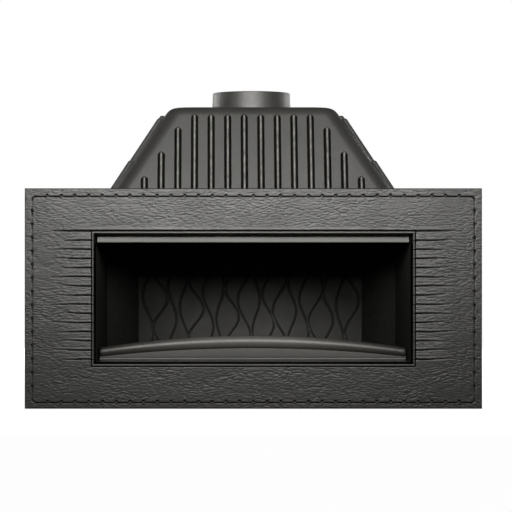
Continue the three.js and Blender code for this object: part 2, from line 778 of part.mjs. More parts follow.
// Half the hood's width or depth at a height: a straight slope that rounds over into the top.
function hoodHalf(topHalf, slope, top, crown, z) {
  const lean = Math.atan(slope);
  const tangent = top - crown + crown * Math.sin(lean);
  if (z <= tangent) {
    return topHalf + slope * (top - z);
  }
  const centre = topHalf - crown * Math.tan((Math.PI / 2 - lean) / 2);
  return centre + Math.sqrt(Math.max(0, crown * crown - (z - top + crown) ** 2));
}

const crownLevels = [1, 0.6, 0.36, 0.18, 0.06, 0];

function hoodSkin(inset, foot, top, crown) {
  const levels = [foot, ...crownLevels.map((share) => top - crown * share)];
  return loft(levels.map((z) => roundedRing(
    hoodHalf(hoodTopWidth / 2 - inset, sideSlope, top, crown, z),
    hoodHalf(hoodTopDepth / 2 - inset, frontSlope, top, crown, z),
    hoodCorner - inset, at(bodyMiddle), z)));
}

// Ribs of one pair of opposite faces. Each ends short of the slanting edge beside it.
function hoodRibs(faceTopHalf, faceSlope, edgeTopHalf, edgeSlope, margin, outward) {
  const start = hoodFoot + hoodFlange - overrun;
  const highest = hoodTop - ribTopMargin;
  const stretch = Math.sqrt(1 + faceSlope * faceSlope);
  const across = new THREE.Vector3(outward.y, outward.x, 0);
  const middle = new THREE.Vector3(0, at(bodyMiddle), 0);
  const up = outward.clone().multiplyScalar(-faceSlope).setZ(1).normalize();
  const out = outward.clone().setZ(faceSlope).normalize();
  const ribs = [];
  for (let place = ribPitch / 2; ; place += ribPitch) {
    const end = Math.min(highest, hoodTop - (place + margin - edgeTopHalf) / edgeSlope);
    if (end < start + shortestRib) {
      return ribs;
    }
    for (const sign of [-1, 1]) {
      const face = faceTopHalf + faceSlope * (hoodTop - start);
      const origin = middle.clone().addScaledVector(outward, face).addScaledVector(across, sign * place);
      ribs.push(rib(origin.setZ(start), up, out, (end - start) * stretch));
    }
  }
}

function hood() {
  const y = at(bodyMiddle);
  const skin = hoodSkin(0, hoodFoot, hoodTop, hoodCrown);
  const hollow = hoodSkin(hoodWall, hoodFoot - overrun, roof, hoodInnerCrown);
  const rimRing = (z) => roundedRing(bodyHalf + hoodFlange, bodyDepth / 2 + hoodFlange, hoodFlange, y, z);
  const rim = loft([rimRing(hoodFoot), rimRing(hoodFoot + hoodFlange)]);
  const ears = [-1, 1].flatMap((side) => [-1, 1].map((end) => ear(side, end, hoodFoot,
    hoodFoot + hoodFlange)));
  const holes = [-1, 1].flatMap((side) => [-1, 1].map((end) => tieHole(side, end, hoodFoot,
    hoodFoot + hoodFlange)));
  const [width, depth] = [hoodTopWidth / 2, hoodTopDepth / 2];
  const front = hoodRibs(depth, frontSlope, width, sideSlope, frontRibMargin, new THREE.Vector3(0, -1, 0));
  const back = hoodRibs(depth, frontSlope, width, sideSlope, frontRibMargin, new THREE.Vector3(0, 1, 0));
  const left = hoodRibs(width, sideSlope, depth, frontSlope, sideRibMargin, new THREE.Vector3(-1, 0, 0));
  const right = hoodRibs(width, sideSlope, depth, frontSlope, sideRibMargin, new THREE.Vector3(1, 0, 0));
  const flueHole = bar('z', collarRadius + seat, roof - overrun, hoodTop + overrun, [0, y], 40);
  const boltHoles = boltPlaces().map((place) => bar('z', boltRadius + rodClear, roof - overrun,
    roof + hoodWall / 2, place, 12));
  const shell = join([skin, rim, ...ears, ...front, ...back, ...left, ...right]);
  return cut(shell, [hollow, flueHole, ...holes, ...boltHoles]);
}

// The rope seal that lies on the body's upper edge, under the hood.
function hoodSeal() {
  const half = bodyHalf - bodyWall / 2 + sealWidth / 2;
  const front = at(bodyFront + headerWall / 2) - sealWidth / 2;
  const back = at(bodyBack - bodyWall / 2) + sealWidth / 2;
  const [low, high] = [bodyTop + seat, bodyTop + seat + sealHeight];
  return cut(block(-half, half, front, back, low, high), [block(-half + sealWidth, half - sealWidth,
    front + sealWidth, back - sealWidth, low - overrun, high + overrun)]);
}

// ---------------------------------------------------------------- flue collar and damper

function boltPlaces() {
  return Array.from({ length: boltCount }, (_, i) => {
    const angle = Math.PI / 2 + i * 2 * Math.PI / boltCount;
    return [boltCircle * Math.cos(angle), at(bodyMiddle) + boltCircle * Math.sin(angle)];
  });
}

function flueCollar() {
  const lip = 1.5;
  const spigot = collarRadius - lip;
  const ring = turned([
    [boreRadius, collarFoot], [spigot, collarFoot], [spigot, flangeFoot], [flangeRadius, flangeFoot],
    [flangeRadius, flangeTop], [collarRadius, flangeTop], [collarRadius, hoodTop],
    [collarRadius - collarDraft, collarTop - lip], [collarRadius - collarDraft - lip, collarTop],
    [boreRadius, collarTop],
  ], 0, at(bodyMiddle), 40);
  const spindleHole = bar('x', spindleRadius + seat, -spindleEnd, spindleEnd, [at(bodyMiddle), spindleZ], 24);
  const holes = boltPlaces().map((place) => bar('z', boltRadius + rodClear, flangeFoot - overrun,
    flangeTop + overrun, place, 12));
  return cut(ring, [spindleHole, ...holes]);
}

function collarGasket() {
  const ring = turned([
    [collarRadius + overrun, flangeTop + seat], [flangeRadius, flangeTop + seat],
    [flangeRadius, roof - seat], [collarRadius + overrun, roof - seat],
  ], 0, at(bodyMiddle), 40);
  return cut(ring, boltPlaces().map((place) => bar('z', boltRadius + rodClear, flangeTop - overrun,
    roof + overrun, place, 12)));
}

function collarBolt(place) {
  return join([
    bar('z', boltHead, flangeFoot - seat - boltHeadHeight, flangeFoot - seat, place, 6),
    bar('z', boltRadius, flangeFoot - seat - overrun, roof + hoodWall / 2 - seat, place, 12),
  ]);
}

// The round flap stands on edge in the flue with the damper open.
function damperFlap() {
  const y = at(bodyMiddle);
  const radius = boreRadius - flapPlay;
  const disc = bar('y', radius, y - flapWall / 2, y + flapWall / 2, [0, spindleZ], 40);
  const hub = bar('x', flapHub, -radius + flapHub, radius - flapHub, [y, spindleZ], 16);
  return cut(join([disc, hub]), [bar('x', spindleRadius + seat, -radius - overrun, radius + overrun,
    [y, spindleZ], 24)]);
}

function damperSpindle() {
  return bar('x', spindleRadius, -collarRadius - spindleReach / 2, spindleEnd, [at(bodyMiddle), spindleZ], 24);
}

function damperCrank() {
  const y = at(bodyMiddle);
  const arm = [];
  const halfRound = (cy, cz, radius, start) => {
    for (let step = 0; step <= 2 * cornerSteps; step += 1) {
      const angle = start + Math.PI * step / (2 * cornerSteps);
      arm.push([cy + radius * Math.cos(angle), cz + radius * Math.sin(angle)]);
    }
  };
  const along = Math.PI - crankAngle;
  halfRound(y, spindleZ, flapHub + overrun, along + Math.PI / 2);
  halfRound(pinY, pinZ, eyeRadius, along - Math.PI / 2);
  const flat = rail(arm, crankX - seat, spindleEnd);
  const pin = bar('x', pinRadius, spindleEnd - overrun, spindleEnd + 3 * rodRadius, [pinY, pinZ], 16);
  const bore = bar('x', spindleRadius + seat, crankX - overrun, spindleEnd + overrun, [y, spindleZ], 24);
  return cut(join([flat, pin]), [bore]);
}

// The rod hangs from the crank's pin and ends in a ring that a poker can hook.
function pullRod() {
  const x = spindleEnd + seat + rodRadius;
  const eye = bar('x', eyeRadius, x - rodRadius, x + rodRadius, [pinY, pinZ], 20);
  const eyeHole = bar('x', pinRadius + seat, x - 2 * rodRadius, x + 2 * rodRadius, [pinY, pinZ], 16);
  const stem = bar('z', rodRadius, pinZ - rodLength, pinZ - pinRadius - overrun, [x, pinY], 12);
  const loop = new THREE.TorusGeometry(ringRadius, rodRadius, 8, 20);
  loop.rotateY(Math.PI / 2);
  loop.translate(x, pinY, pinZ - rodLength - ringRadius);
  return cut(join([eye, stem, toSolid(loop)]), [eyeHole]);
}

// ---------------------------------------------------------------- log guard

function guardPegY() {
  return at(guardSetback + guardPlate / 2 + guardFootReach - guardPegRadius);
}

// The guard's arch, as the height of the roll's middle above the hearth.
const guardRise = (x) => hearthTop + seat + guardRollHeight - guardArch * (x / guardHalf) ** 2;

function guardRoll() {
  const y = at(guardSetback);
  const endCaps = [[0, 0.55], [1.2, 0.86], [3.5, 1]];
  const stations = [
    ...endCaps.map(([inset, share]) => [-guardHalf + inset, share]),
    ...Array.from({ length: guardSteps - 1 }, (_, i) => [
      -guardHalf + 2 * guardHalf * (i + 1) / guardSteps, 1]),
    ...endCaps.toReversed().map(([inset, share]) => [guardHalf - inset, share]),
  ];
  const sides = 14;
  return loft(stations.map(([x, share]) => {
    const middle = guardMiddleRadius + (guardEndRadius - guardMiddleRadius) * (x / guardHalf) ** 2;
    return Array.from({ length: sides }, (_, i) => {
      const angle = i * 2 * Math.PI / sides;
      const radius = middle * share;
      return new THREE.Vector3(x, y + radius * Math.cos(angle), guardRise(x) + radius * Math.sin(angle));
    });
  }));
}

function logGuard() {
  const low = hearthTop + seat;
  const half = guardHalf - overrun;
  const outline = [[-half, low], [half, low]];
  for (let step = 0; step <= guardSteps; step += 1) {
    const x = half - 2 * half * step / guardSteps;
    outline.push([x, guardRise(x)]);
  }
  const front = at(guardSetback - guardPlate / 2);
  const back = at(guardSetback + guardPlate / 2);
  const web = slab(outline, front, back);
  const bead = rail([[front + overrun, low], [front - guardBeadProud, low + guardBeadHeight / 4],
    [front - guardBeadProud, low + guardBeadHeight * 0.75], [front + overrun, low + guardBeadHeight]],
  -half, half);
  const feet = [-1, 1].flatMap((side) => [
    block(side * guardFootX - guardFootWidth / 2, side * guardFootX + guardFootWidth / 2, back - overrun,
      back + guardFootReach, low, low + guardPlate),
    bar('z', guardPegRadius, hearthTop - guardPegDrop, low + overrun, [side * guardFootX, guardPegY()], 16),
  ]);
  return join([guardRoll(), web, bead, ...feet]);
}

// ---------------------------------------------------------------- the whole insert

const materials = {
  facade: new THREE.MeshStandardMaterial({ color: 0x6e6e6a, roughness: 0.55, metalness: 0.25 }),
  castIron: new THREE.MeshStandardMaterial({ color: 0x62625f, roughness: 0.6, metalness: 0.25 }),
  lining: new THREE.MeshStandardMaterial({ color: 0x4a4a48, roughness: 0.7, metalness: 0.2 }),
  steel: new THREE.MeshStandardMaterial({ color: 0x555553, roughness: 0.5, metalness: 0.7 }),
  rope: new THREE.MeshStandardMaterial({ color: 0x3c3a36, roughness: 0.95, metalness: 0 }),
};

const insert = new THREE.Group();

function add(name, solid, material) {
  const mesh = new THREE.Mesh(toGeometry(solid), material);
  mesh.name = name;
  insert.add(mesh);
}

const sides = [['left', -1], ['right', 1]];
const ends = [['front', -1], ['back', 1]];

add('facade', facade(), materials.facade);
add('front_header', frontHeader(), materials.castIron);
add('front_apron', frontApron(), materials.castIron);
add('back_wall', backWall(), materials.castIron);
add('hearth_plate', hearthPlate(), materials.castIron);
add('ash_box', ashBox(), materials.castIron);
add('lintel', lintel(), materials.castIron);
add('fireback', fireback(), materials.lining);
add('fire_grate', grate(), materials.lining);
add('ash_pan', ashPan(), materials.steel);
add('log_guard', logGuard(), materials.castIron);
add('hood', hood(), materials.castIron);
add('hood_seal', hoodSeal(), materials.rope);
add('flue_collar', flueCollar(), materials.castIron);
add('collar_gasket', collarGasket(), materials.rope);
add('damper_flap', damperFlap(), materials.castIron);
add('damper_spindle', damperSpindle(), materials.steel);
add('damper_crank', damperCrank(), materials.steel);
add('damper_pull_rod', pullRod(), materials.steel);
boltPlaces().forEach((place, i) => add(`collar_bolt_${i + 1}`, collarBolt(place), materials.steel));

for (const [sideName, side] of sides) {
  add(`side_wall_${sideName}`, sideWall(side), materials.castIron);
  add(`side_liner_${sideName}`, sideLiner(side), materials.lining);
  add(`cheek_${sideName}`, cheek(side), materials.lining);
  add(`fireback_clip_${sideName}`, firebackClip(side), materials.steel);
  add(`facade_bracket_lower_${sideName}`, facadeBracket(side, facadeFoot + bossRise), materials.steel);
  add(`facade_bracket_upper_${sideName}`, facadeBracket(side, facadeTop - bossDrop), materials.steel);
  for (const [endName, end] of ends) {
    add(`foot_${endName}_${sideName}`, foot(side, end), materials.castIron);
    add(`tie_rod_${endName}_${sideName}`, tieRod(side, end), materials.steel);
  }
}

export default insert;
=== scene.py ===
# %% [markdown]
# # An open cast-iron fireplace insert
#
# The object is a wide cast facade with a relief like stitched leather, a ribbed hood with its flue collar
# behind it, and a firebox lined with plates.

# %% Load the frame
import math
import bmesh
import bpy
import numpy as np
from mathutils import Matrix, Vector


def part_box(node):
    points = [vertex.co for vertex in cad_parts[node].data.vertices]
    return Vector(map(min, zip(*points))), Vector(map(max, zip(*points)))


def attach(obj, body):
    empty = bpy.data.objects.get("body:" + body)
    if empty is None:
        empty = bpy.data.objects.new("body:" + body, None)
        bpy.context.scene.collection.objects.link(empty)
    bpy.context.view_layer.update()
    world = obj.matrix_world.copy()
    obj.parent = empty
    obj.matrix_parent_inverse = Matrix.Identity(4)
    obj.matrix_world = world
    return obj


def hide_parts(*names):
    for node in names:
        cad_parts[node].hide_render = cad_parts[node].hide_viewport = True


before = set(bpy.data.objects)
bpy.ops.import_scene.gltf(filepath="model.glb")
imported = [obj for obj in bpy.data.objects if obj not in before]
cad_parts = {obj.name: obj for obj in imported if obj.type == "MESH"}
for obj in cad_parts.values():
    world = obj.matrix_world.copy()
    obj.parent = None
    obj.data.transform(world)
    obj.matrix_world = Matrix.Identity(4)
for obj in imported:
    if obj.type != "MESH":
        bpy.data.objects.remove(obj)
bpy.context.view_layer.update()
MM = 0.001

# %% [markdown]
# Most pieces below are meshes worked out with numpy, in millimetres. One small function turns such points and
# faces into a Blender mesh, and another says which body a piece moves with, which solid it stands for and which
# finish it has. Keeping both in one place makes every later cell shorter.

# %% Helpers that make and place a mesh
def mesh_piece(name, points_mm, faces, smooth=True):
    mesh = bpy.data.meshes.new(name)
    mesh.from_pydata((np.asarray(points_mm) * MM).tolist(), [], [tuple(face) for face in faces])
    mesh.validate()
    mesh.shade_smooth() if smooth else mesh.shade_flat()
    piece = bpy.data.objects.new(name, mesh)
    bpy.context.scene.collection.objects.link(piece)
    return piece


def face_outwards(piece):
    bm = bmesh.new()
    bm.from_mesh(piece.data)
    bmesh.ops.remove_doubles(bm, verts=bm.verts, dist=1e-6)
    bmesh.ops.recalc_face_normals(bm, faces=bm.faces)
    bm.to_mesh(piece.data)
    bm.free()
    return piece


def crease(piece, degrees=35):
    piece.data.shade_smooth()
    piece.data.set_sharp_from_angle(angle=math.radians(degrees))
    return piece


def settle(piece, material, body="insert", stands_for=()):
    piece.data.materials.clear()
    piece.data.materials.append(material)
    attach(piece, body)
    if stands_for:
        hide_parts(*stands_for)
    print(f"{piece.name}: {sum(len(p.vertices) - 2 for p in piece.data.polygons)} triangles")
    return piece


def node_box(node):
    low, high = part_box(node)
    return np.array(low) / MM, np.array(high) / MM

# %% [markdown]
# Finishes, the white room and the rows of ribs are all made of nodes. These helpers lay one node each and join
# it to the ones before it: a socket given as an input is linked, and a number or colour is set as its value.

# %% Small helpers that lay shader and geometry nodes
def put(tree, kind, inputs=None, **settings):
    node = tree.nodes.new(kind)
    for key, value in settings.items():
        setattr(node, key, value)
    for key, value in (inputs or {}).items():
        if isinstance(value, bpy.types.NodeSocket):
            tree.links.new(value, node.inputs[key])
        else:
            node.inputs[key].default_value = value
    return node


def reckon(tree, operation, a, b=None, clamp=False):
    inputs = {0: a} if b is None else {0: a, 1: b}
    return put(tree, "ShaderNodeMath", inputs, operation=operation, use_clamp=clamp).outputs[0]


def span(tree, value, low, high, to_low=0.0, to_high=1.0):
    return put(tree, "ShaderNodeMapRange", {"Value": value, "From Min": low, "From Max": high, "To Min": to_low,
                                            "To Max": to_high}).outputs[0]


def mix(tree, share, a, b, kind="RGBA"):
    first, result = (6, 2) if kind == "RGBA" else (2, 0)
    return put(tree, "ShaderNodeMix", {0: share, first: a, first + 1: b}, data_type=kind).outputs[result]


def parts_of(tree, vector):
    return put(tree, "ShaderNodeSeparateXYZ", {0: vector}).outputs


print("node helpers ready")

# %% [markdown]
# The photograph was taken from far away: the sides of the firebox hardly converge. A long lens five metres in
# front of the facade gives the same perspective. The lens shift moves the picture sideways without turning the
# camera, because the photographer stood a little to the left of the middle.

# %% Camera
PHOTO_SIDE = 512
SENSOR = 36.0
CAMERA_REACH = 5.0
FACADE_PIXELS = 458.0
FACADE_MIDDLE_PIXEL = 253.42
CAMERA_OFFSET = -0.095
EYE_HEIGHT = 0.336

facade_low, facade_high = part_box("facade")
facade_width = facade_high.x - facade_low.x
camera_data = bpy.data.cameras.new("camera")
camera = bpy.data.objects.new("camera", camera_data)
bpy.context.scene.collection.objects.link(camera)
bpy.context.scene.camera = camera
camera_data.sensor_width = SENSOR
camera_data.lens = SENSOR * FACADE_PIXELS * CAMERA_REACH / (PHOTO_SIDE * facade_width)
camera.location = (CAMERA_OFFSET, facade_low.y - CAMERA_REACH, EYE_HEIGHT)
camera.rotation_euler = (math.pi / 2, 0, 0)
axis_pixel = FACADE_MIDDLE_PIXEL + CAMERA_OFFSET * FACADE_PIXELS / facade_width
camera_data.shift_x = 0.5 - axis_pixel / PHOTO_SIDE
camera_data.clip_end = 100
print(f"camera: lens {camera_data.lens:.1f} mm, shift {camera_data.shift_x:.3f}")

# %% [markdown]
# A product photograph uses a white room. Large soft lamps stand in for it: one broad lamp over and in front of
# the facade, so that its upper edge is brighter than its foot, and weaker ones at the sides and behind. The
# white behind the object comes from the world and the floor as the camera sees them, and not from more light
# on the iron.

# %% Lamps, world and floor
LAMPS = {
    "key": ((-0.06, -1.5, 0.93), (-0.03, -0.24, 0.74), (1.3, 0.6), 8.1, 92),
    "left": ((-2.4, 2.0, 0.8), (-0.2, 0.1, 0.35), (1.6, 1.2), 34.0, 180),
    "right": ((2.4, 2.0, 0.8), (0.2, 0.1, 0.35), (1.6, 1.2), 28.0, 180),
    "back": ((0.2, 3.0, 0.8), (0.0, 0.2, 0.4), (2.4, 1.2), 26.0, 180),
}
ROOM_START, ROOM_LOW, ROOM_HIGH = -0.2, 0.05, 0.075
FLOOR_GLOW, FAR_GLOW = 0.9, 0.97
GLOW_NEAR, GLOW_FAR = 1.0, 6.0
FLOOR_BOUNCE, FLOOR_SEEN = 0.18, 0.62
WARM_LIGHT = (1.0, 0.988, 0.962)
FLOOR_SIZE = 40.0

for lamp_name, (place, aim, size, power, spread) in LAMPS.items():
    lamp = bpy.data.lights.new(lamp_name, "AREA")
    lamp.shape, lamp.size, lamp.size_y, lamp.energy = "RECTANGLE", size[0], size[1], power
    lamp.spread = math.radians(spread)
    lamp.color = WARM_LIGHT
    lamp_object = bpy.data.objects.new(lamp_name, lamp)
    lamp_object.location = place
    lamp_object.rotation_euler = (Vector(aim) - Vector(place)).to_track_quat("-Z", "Y").to_euler()
    bpy.context.scene.collection.objects.link(lamp_object)

world = bpy.data.worlds.new("white_room")
bpy.context.scene.world = world
world.use_nodes = True
sky = world.node_tree
upward = parts_of(sky, put(sky, "ShaderNodeTexCoord").outputs["Generated"])["Z"]
room_light = span(sky, upward, ROOM_START, 1.0, ROOM_LOW, ROOM_HIGH)
camera_ray = put(sky, "ShaderNodeLightPath").outputs["Is Camera Ray"]
background = sky.nodes["Background"]
background.inputs["Color"].default_value = (1, 1, 1, 1)
sky.links.new(mix(sky, camera_ray, room_light, 1.0, "FLOAT"), background.inputs["Strength"])

floor_mesh = bpy.data.meshes.new("floor")
floor_half = FLOOR_SIZE / 2
floor_mesh.from_pydata([(-floor_half, -floor_half, 0), (floor_half, -floor_half, 0),
                        (floor_half, floor_half, 0), (-floor_half, floor_half, 0)], [], [(0, 1, 2, 3)])
floor = bpy.data.objects.new("floor", floor_mesh)
bpy.context.scene.collection.objects.link(floor)
floor_material = bpy.data.materials.new("pale_floor")
floor_material.use_nodes = True
ground = floor_material.node_tree
ground.nodes.clear()
camera_ray = put(ground, "ShaderNodeLightPath").outputs["Is Camera Ray"]
floor_place = put(ground, "ShaderNodeTexCoord").outputs["Object"]
from_middle = put(ground, "ShaderNodeVectorMath", {0: floor_place}, operation="LENGTH").outputs["Value"]
glow_level = span(ground, from_middle, GLOW_NEAR, GLOW_FAR, FLOOR_GLOW, FAR_GLOW)
floor_tone = span(ground, camera_ray, 0.0, 1.0, FLOOR_BOUNCE, FLOOR_SEEN)
matt = put(ground, "ShaderNodeBsdfDiffuse", {"Color": floor_tone})
glow = put(ground, "ShaderNodeEmission", {"Strength": reckon(ground, "MULTIPLY", camera_ray, glow_level)})
both = put(ground, "ShaderNodeAddShader", {0: matt.outputs[0], 1: glow.outputs[0]})
put(ground, "ShaderNodeOutputMaterial", {"Surface": both.outputs[0]})
floor_mesh.materials.append(floor_material)
bpy.context.scene.view_settings.view_transform = "Standard"
print("stage: floor,", len(LAMPS), "lamps")

# %% [markdown]
# Cast iron under stove paint is nearly black, dull, and never quite even. Four effects are drawn on it: a fine
# grain left by the moulding sand, slow patches where the paint lies thicker, bright places on the raised parts
# that are partly rubbed wear and partly a painted highlight, and painted shade that darkens the hollows. Three
# node groups hold them, so that every finish below uses the same grain and only its values differ.

# %% Node group: sand grain
def new_group(name, inputs, outputs):
    group = bpy.data.node_groups.new(name, "ShaderNodeTree")
    for label, value in inputs.items():
        kind = {1: "Float", 3: "Vector", 4: "Color"}[np.size(value)]
        socket = group.interface.new_socket(name=label, in_out="INPUT", socket_type="NodeSocket" + kind)
        socket.default_value = value
    for label, kind in outputs.items():
        group.interface.new_socket(name=label, in_out="OUTPUT", socket_type="NodeSocket" + kind)
    return group, group.nodes.new("NodeGroupInput").outputs


def noise(tree, place, scale, detail, roughness):
    return put(tree, "ShaderNodeTexNoise", {"Vector": place, "Scale": scale, "Detail": detail,
                                            "Roughness": roughness}).outputs["Fac"]


sand_grain, given = new_group("sand_grain", {"Vector": (0, 0, 0), "Grain per metre": 900.0,
                                             "Pits per metre": 260.0, "Pit depth": 0.5}, {"Height": "Float"})
grains = noise(sand_grain, given["Vector"], given["Grain per metre"], 3.0, 0.6)
pits = put(sand_grain, "ShaderNodeTexVoronoi", {"Vector": given["Vector"], "Scale": given["Pits per metre"]})
pit_shape = span(sand_grain, pits.outputs["Distance"], 0.0, 0.35, 1.0, 0.0)
pit_cut = reckon(sand_grain, "MULTIPLY", pit_shape, given["Pit depth"])
put(sand_grain, "NodeGroupOutput", {"Height": reckon(sand_grain, "SUBTRACT", grains, pit_cut)})
print("group:", sand_grain.name)

# %% Node group: uneven paint
uneven_paint, given = new_group("uneven_paint", {
    "Vector": (0, 0, 0), "Paint": (0.06, 0.06, 0.057, 1), "Thin paint": (0.09, 0.089, 0.083, 1),
    "Patches per metre": 9.0, "Specks per metre": 420.0, "Speck strength": 0.35, "Dull": 0.62,
    "Sheen patch": 0.48}, {"Color": "Color", "Roughness": "Float"})
patches = noise(uneven_paint, given["Vector"], given["Patches per metre"], 5.0, 0.62)
specks = noise(uneven_paint, given["Vector"], given["Specks per metre"], 2.0, 0.7)
speck_part = reckon(uneven_paint, "MULTIPLY", span(uneven_paint, specks, 0.35, 0.7, -1.0, 1.0),
                    given["Speck strength"])
thinness = reckon(uneven_paint, "ADD", span(uneven_paint, patches, 0.34, 0.68), speck_part, clamp=True)
put(uneven_paint, "NodeGroupOutput", {
    "Color": mix(uneven_paint, thinness, given["Paint"], given["Thin paint"]),
    "Roughness": mix(uneven_paint, thinness, given["Dull"], given["Sheen patch"], "FLOAT")})
print("group:", uneven_paint.name)

# %% [markdown]
# Handling rubs paint off the edges and crests, and the third group paints that wear together with a painted
# highlight: a crest mask turns into a paler, smoother place. A hollow mask turns into a darker place, which is
# painted shade in the creases and hollows. Where the masks come from differs: Cycles knows how sharply a mesh
# bends, which it calls pointiness, and the facade and the hood's front ribs bring crest values of their own.
# The painted shade also takes the gloss away. A metallic share does that, since black metal mirrors nothing.

# %% Node group: crests with wear and painted highlight, hollows with painted shade
wear_highlight_and_shade, given = new_group("wear_highlight_and_shade", {
    "Vector": (0, 0, 0), "Color": (0.06, 0.06, 0.057, 1), "Crest": 0.0, "Hollow": 0.0, "Roughness": 0.6,
    "Wear highlight": (0.2, 0.198, 0.19, 1), "Painted shade": (0.004, 0.004, 0.0038, 1), "Wear highlight strength": 0.6,
    "Painted shade strength": 0.6, "Rub roughness": 0.4}, {"Color": "Color", "Roughness": "Float", "Metallic": "Float"})
# Crests turn paler as rubbed wear and painted highlight; hollows turn darker and lose gloss as painted shade.
scuffs = span(wear_highlight_and_shade, noise(wear_highlight_and_shade, given["Vector"], 70.0, 4.0, 0.65), 0.3, 0.65, 0.25, 1.0)
scuffed_crest = reckon(wear_highlight_and_shade, "MULTIPLY", given["Crest"], scuffs)
wear_highlight_amount = reckon(wear_highlight_and_shade, "MULTIPLY", scuffed_crest, given["Wear highlight strength"], clamp=True)
painted_shade_amount = reckon(wear_highlight_and_shade, "MULTIPLY", given["Hollow"], given["Painted shade strength"], clamp=True)
wear_highlight_mix = mix(wear_highlight_and_shade, wear_highlight_amount, given["Color"], given["Wear highlight"])
put(wear_highlight_and_shade, "NodeGroupOutput", {
    "Color": mix(wear_highlight_and_shade, painted_shade_amount, wear_highlight_mix, given["Painted shade"]),
    "Roughness": mix(wear_highlight_and_shade, wear_highlight_amount, given["Roughness"], given["Rub roughness"], "FLOAT"),
    "Metallic": painted_shade_amount})
print("group:", wear_highlight_and_shade.name)

# %% [markdown]
# Each finish now joins the three groups to its own shader. Values that are the same all over the surface, such
# as the specular level, are set on the shader's own sockets, because an exported model keeps only those. The
# three tones of a finish are its paint, its thin paint and its crests, which are rubbed wear and painted
# highlight at once, given as shares of white.

# %% Finishes of painted iron
# Ranges that turn crest values and pointiness into rubbed wear with painted highlight, and into painted shade.
MARKED_CREST, MARKED_HOLLOW = (0.12, 0.8), (-0.2, -0.85)
BENT_CREST, BENT_HOLLOW = (0.505, 0.57), (0.495, 0.44)
# These set how a painted pool of light fades into painted shade away from its middle.
SPOT_START, SPOT_END, SPOT_SHADE = 0.35, 1.5, 0.85


def grey(share, warm):
    return share, share * (1 - warm / 6), share * (1 - warm), 1


def away_from(tree, place, middle_x, middle_z, reach_x, reach_z):
    offset = put(tree, "ShaderNodeVectorMath", {0: place, 1: (-middle_x, 0, -middle_z)}, operation="ADD")
    scaled = put(tree, "ShaderNodeVectorMath", {0: offset.outputs[0], 1: (1 / reach_x, 0, 1 / reach_z)},
                 operation="MULTIPLY")
    return put(tree, "ShaderNodeVectorMath", {0: scaled.outputs[0]}, operation="LENGTH").outputs["Value"]


def painted_iron(name, tones, grain, grain_bump, patches, wear_highlight, painted_shade, dull=0.5, sheen=0.42, specular=1.0,
                 warm=0.09, marked=False, painted_shade_depth=None, painted_light_spot=None, metallic=None):
    material = bpy.data.materials.new(name)
    material.use_nodes = True
    tree = material.node_tree
    shader = tree.nodes["Principled BSDF"]
    place = put(tree, "ShaderNodeTexCoord").outputs["Object"]
    if marked:
        bend = put(tree, "ShaderNodeAttribute", attribute_name="crest").outputs["Fac"]
    else:
        bend = put(tree, "ShaderNodeNewGeometry").outputs["Pointiness"]
    # The crest mask makes rubbed wear with a painted highlight, and the hollow mask makes painted shade.
    crest = span(tree, bend, *(MARKED_CREST if marked else BENT_CREST))
    shade_mask = span(tree, bend, *(MARKED_HOLLOW if marked else BENT_HOLLOW))
    # Places deeper than a given depth behind the front turn dark: painted shade.
    if painted_shade_depth:
        shade_mask = reckon(tree, "MAXIMUM", shade_mask, span(tree, parts_of(tree, place)["Y"], *painted_shade_depth))
    # Painted pool of light: darker with distance from a given middle, as painted shade.
    if painted_light_spot:
        away = away_from(tree, place, *painted_light_spot)
        shade_mask = reckon(tree, "MAXIMUM", shade_mask, span(tree, away, SPOT_START, SPOT_END, 0.0, SPOT_SHADE))
    paint, thin, wear_highlight_tone = (grey(tone, warm) for tone in tones)
    coat = put(tree, "ShaderNodeGroup", {"Vector": place, "Paint": paint, "Thin paint": thin,
               "Patches per metre": patches, "Dull": dull, "Sheen patch": sheen}, node_tree=uneven_paint)
    worn = put(tree, "ShaderNodeGroup", {"Vector": place, "Color": coat.outputs["Color"],
               "Roughness": coat.outputs["Roughness"], "Crest": crest, "Hollow": shade_mask, "Wear highlight": wear_highlight_tone,
               "Wear highlight strength": wear_highlight, "Painted shade strength": painted_shade}, node_tree=wear_highlight_and_shade)
    grains = put(tree, "ShaderNodeGroup", {"Vector": place, "Grain per metre": grain}, node_tree=sand_grain)
    bump = put(tree, "ShaderNodeBump", {"Height": grains.outputs["Height"], "Strength": 1.0,
                                        "Distance": grain_bump})
    tree.links.new(worn.outputs["Color"], shader.inputs["Base Color"])
    tree.links.new(worn.outputs["Roughness"], shader.inputs["Roughness"])
    tree.links.new(bump.outputs["Normal"], shader.inputs["Normal"])
    if metallic is None:
        tree.links.new(worn.outputs["Metallic"], shader.inputs["Metallic"])
    else:
        shader.inputs["Metallic"].default_value = metallic
    shader.inputs["Specular IOR Level"].default_value = specular
    print("finish:", name)
    return material


# The facade's crest values paint highlights on the leather's lips and painted shade in its creases and seam.
facade_iron = painted_iron("painted_facade_iron", (0.026, 0.036, 0.11), 1300, 0.00022, patches=7, wear_highlight=0.8,
                           painted_shade=0.97, sheen=0.41, marked=True)
body_iron = painted_iron("painted_body_iron", (0.03, 0.042, 0.1), 700, 0.0004, patches=8, wear_highlight=0.4, painted_shade=0.7)
# The front ribs' finish paints a bright highlight along each crest and shade on the flanks.
rib_iron = painted_iron("painted_rib_iron", (0.02, 0.03, 0.32), 700, 0.0003, patches=8, wear_highlight=0.9, painted_shade=0.95,
                        specular=0.9, marked=True)
guard_iron = painted_iron("painted_guard_iron", (0.055, 0.07, 0.2), 800, 0.0002, patches=6, wear_highlight=0.7, painted_shade=0.6,
                          dull=0.54, sheen=0.47)
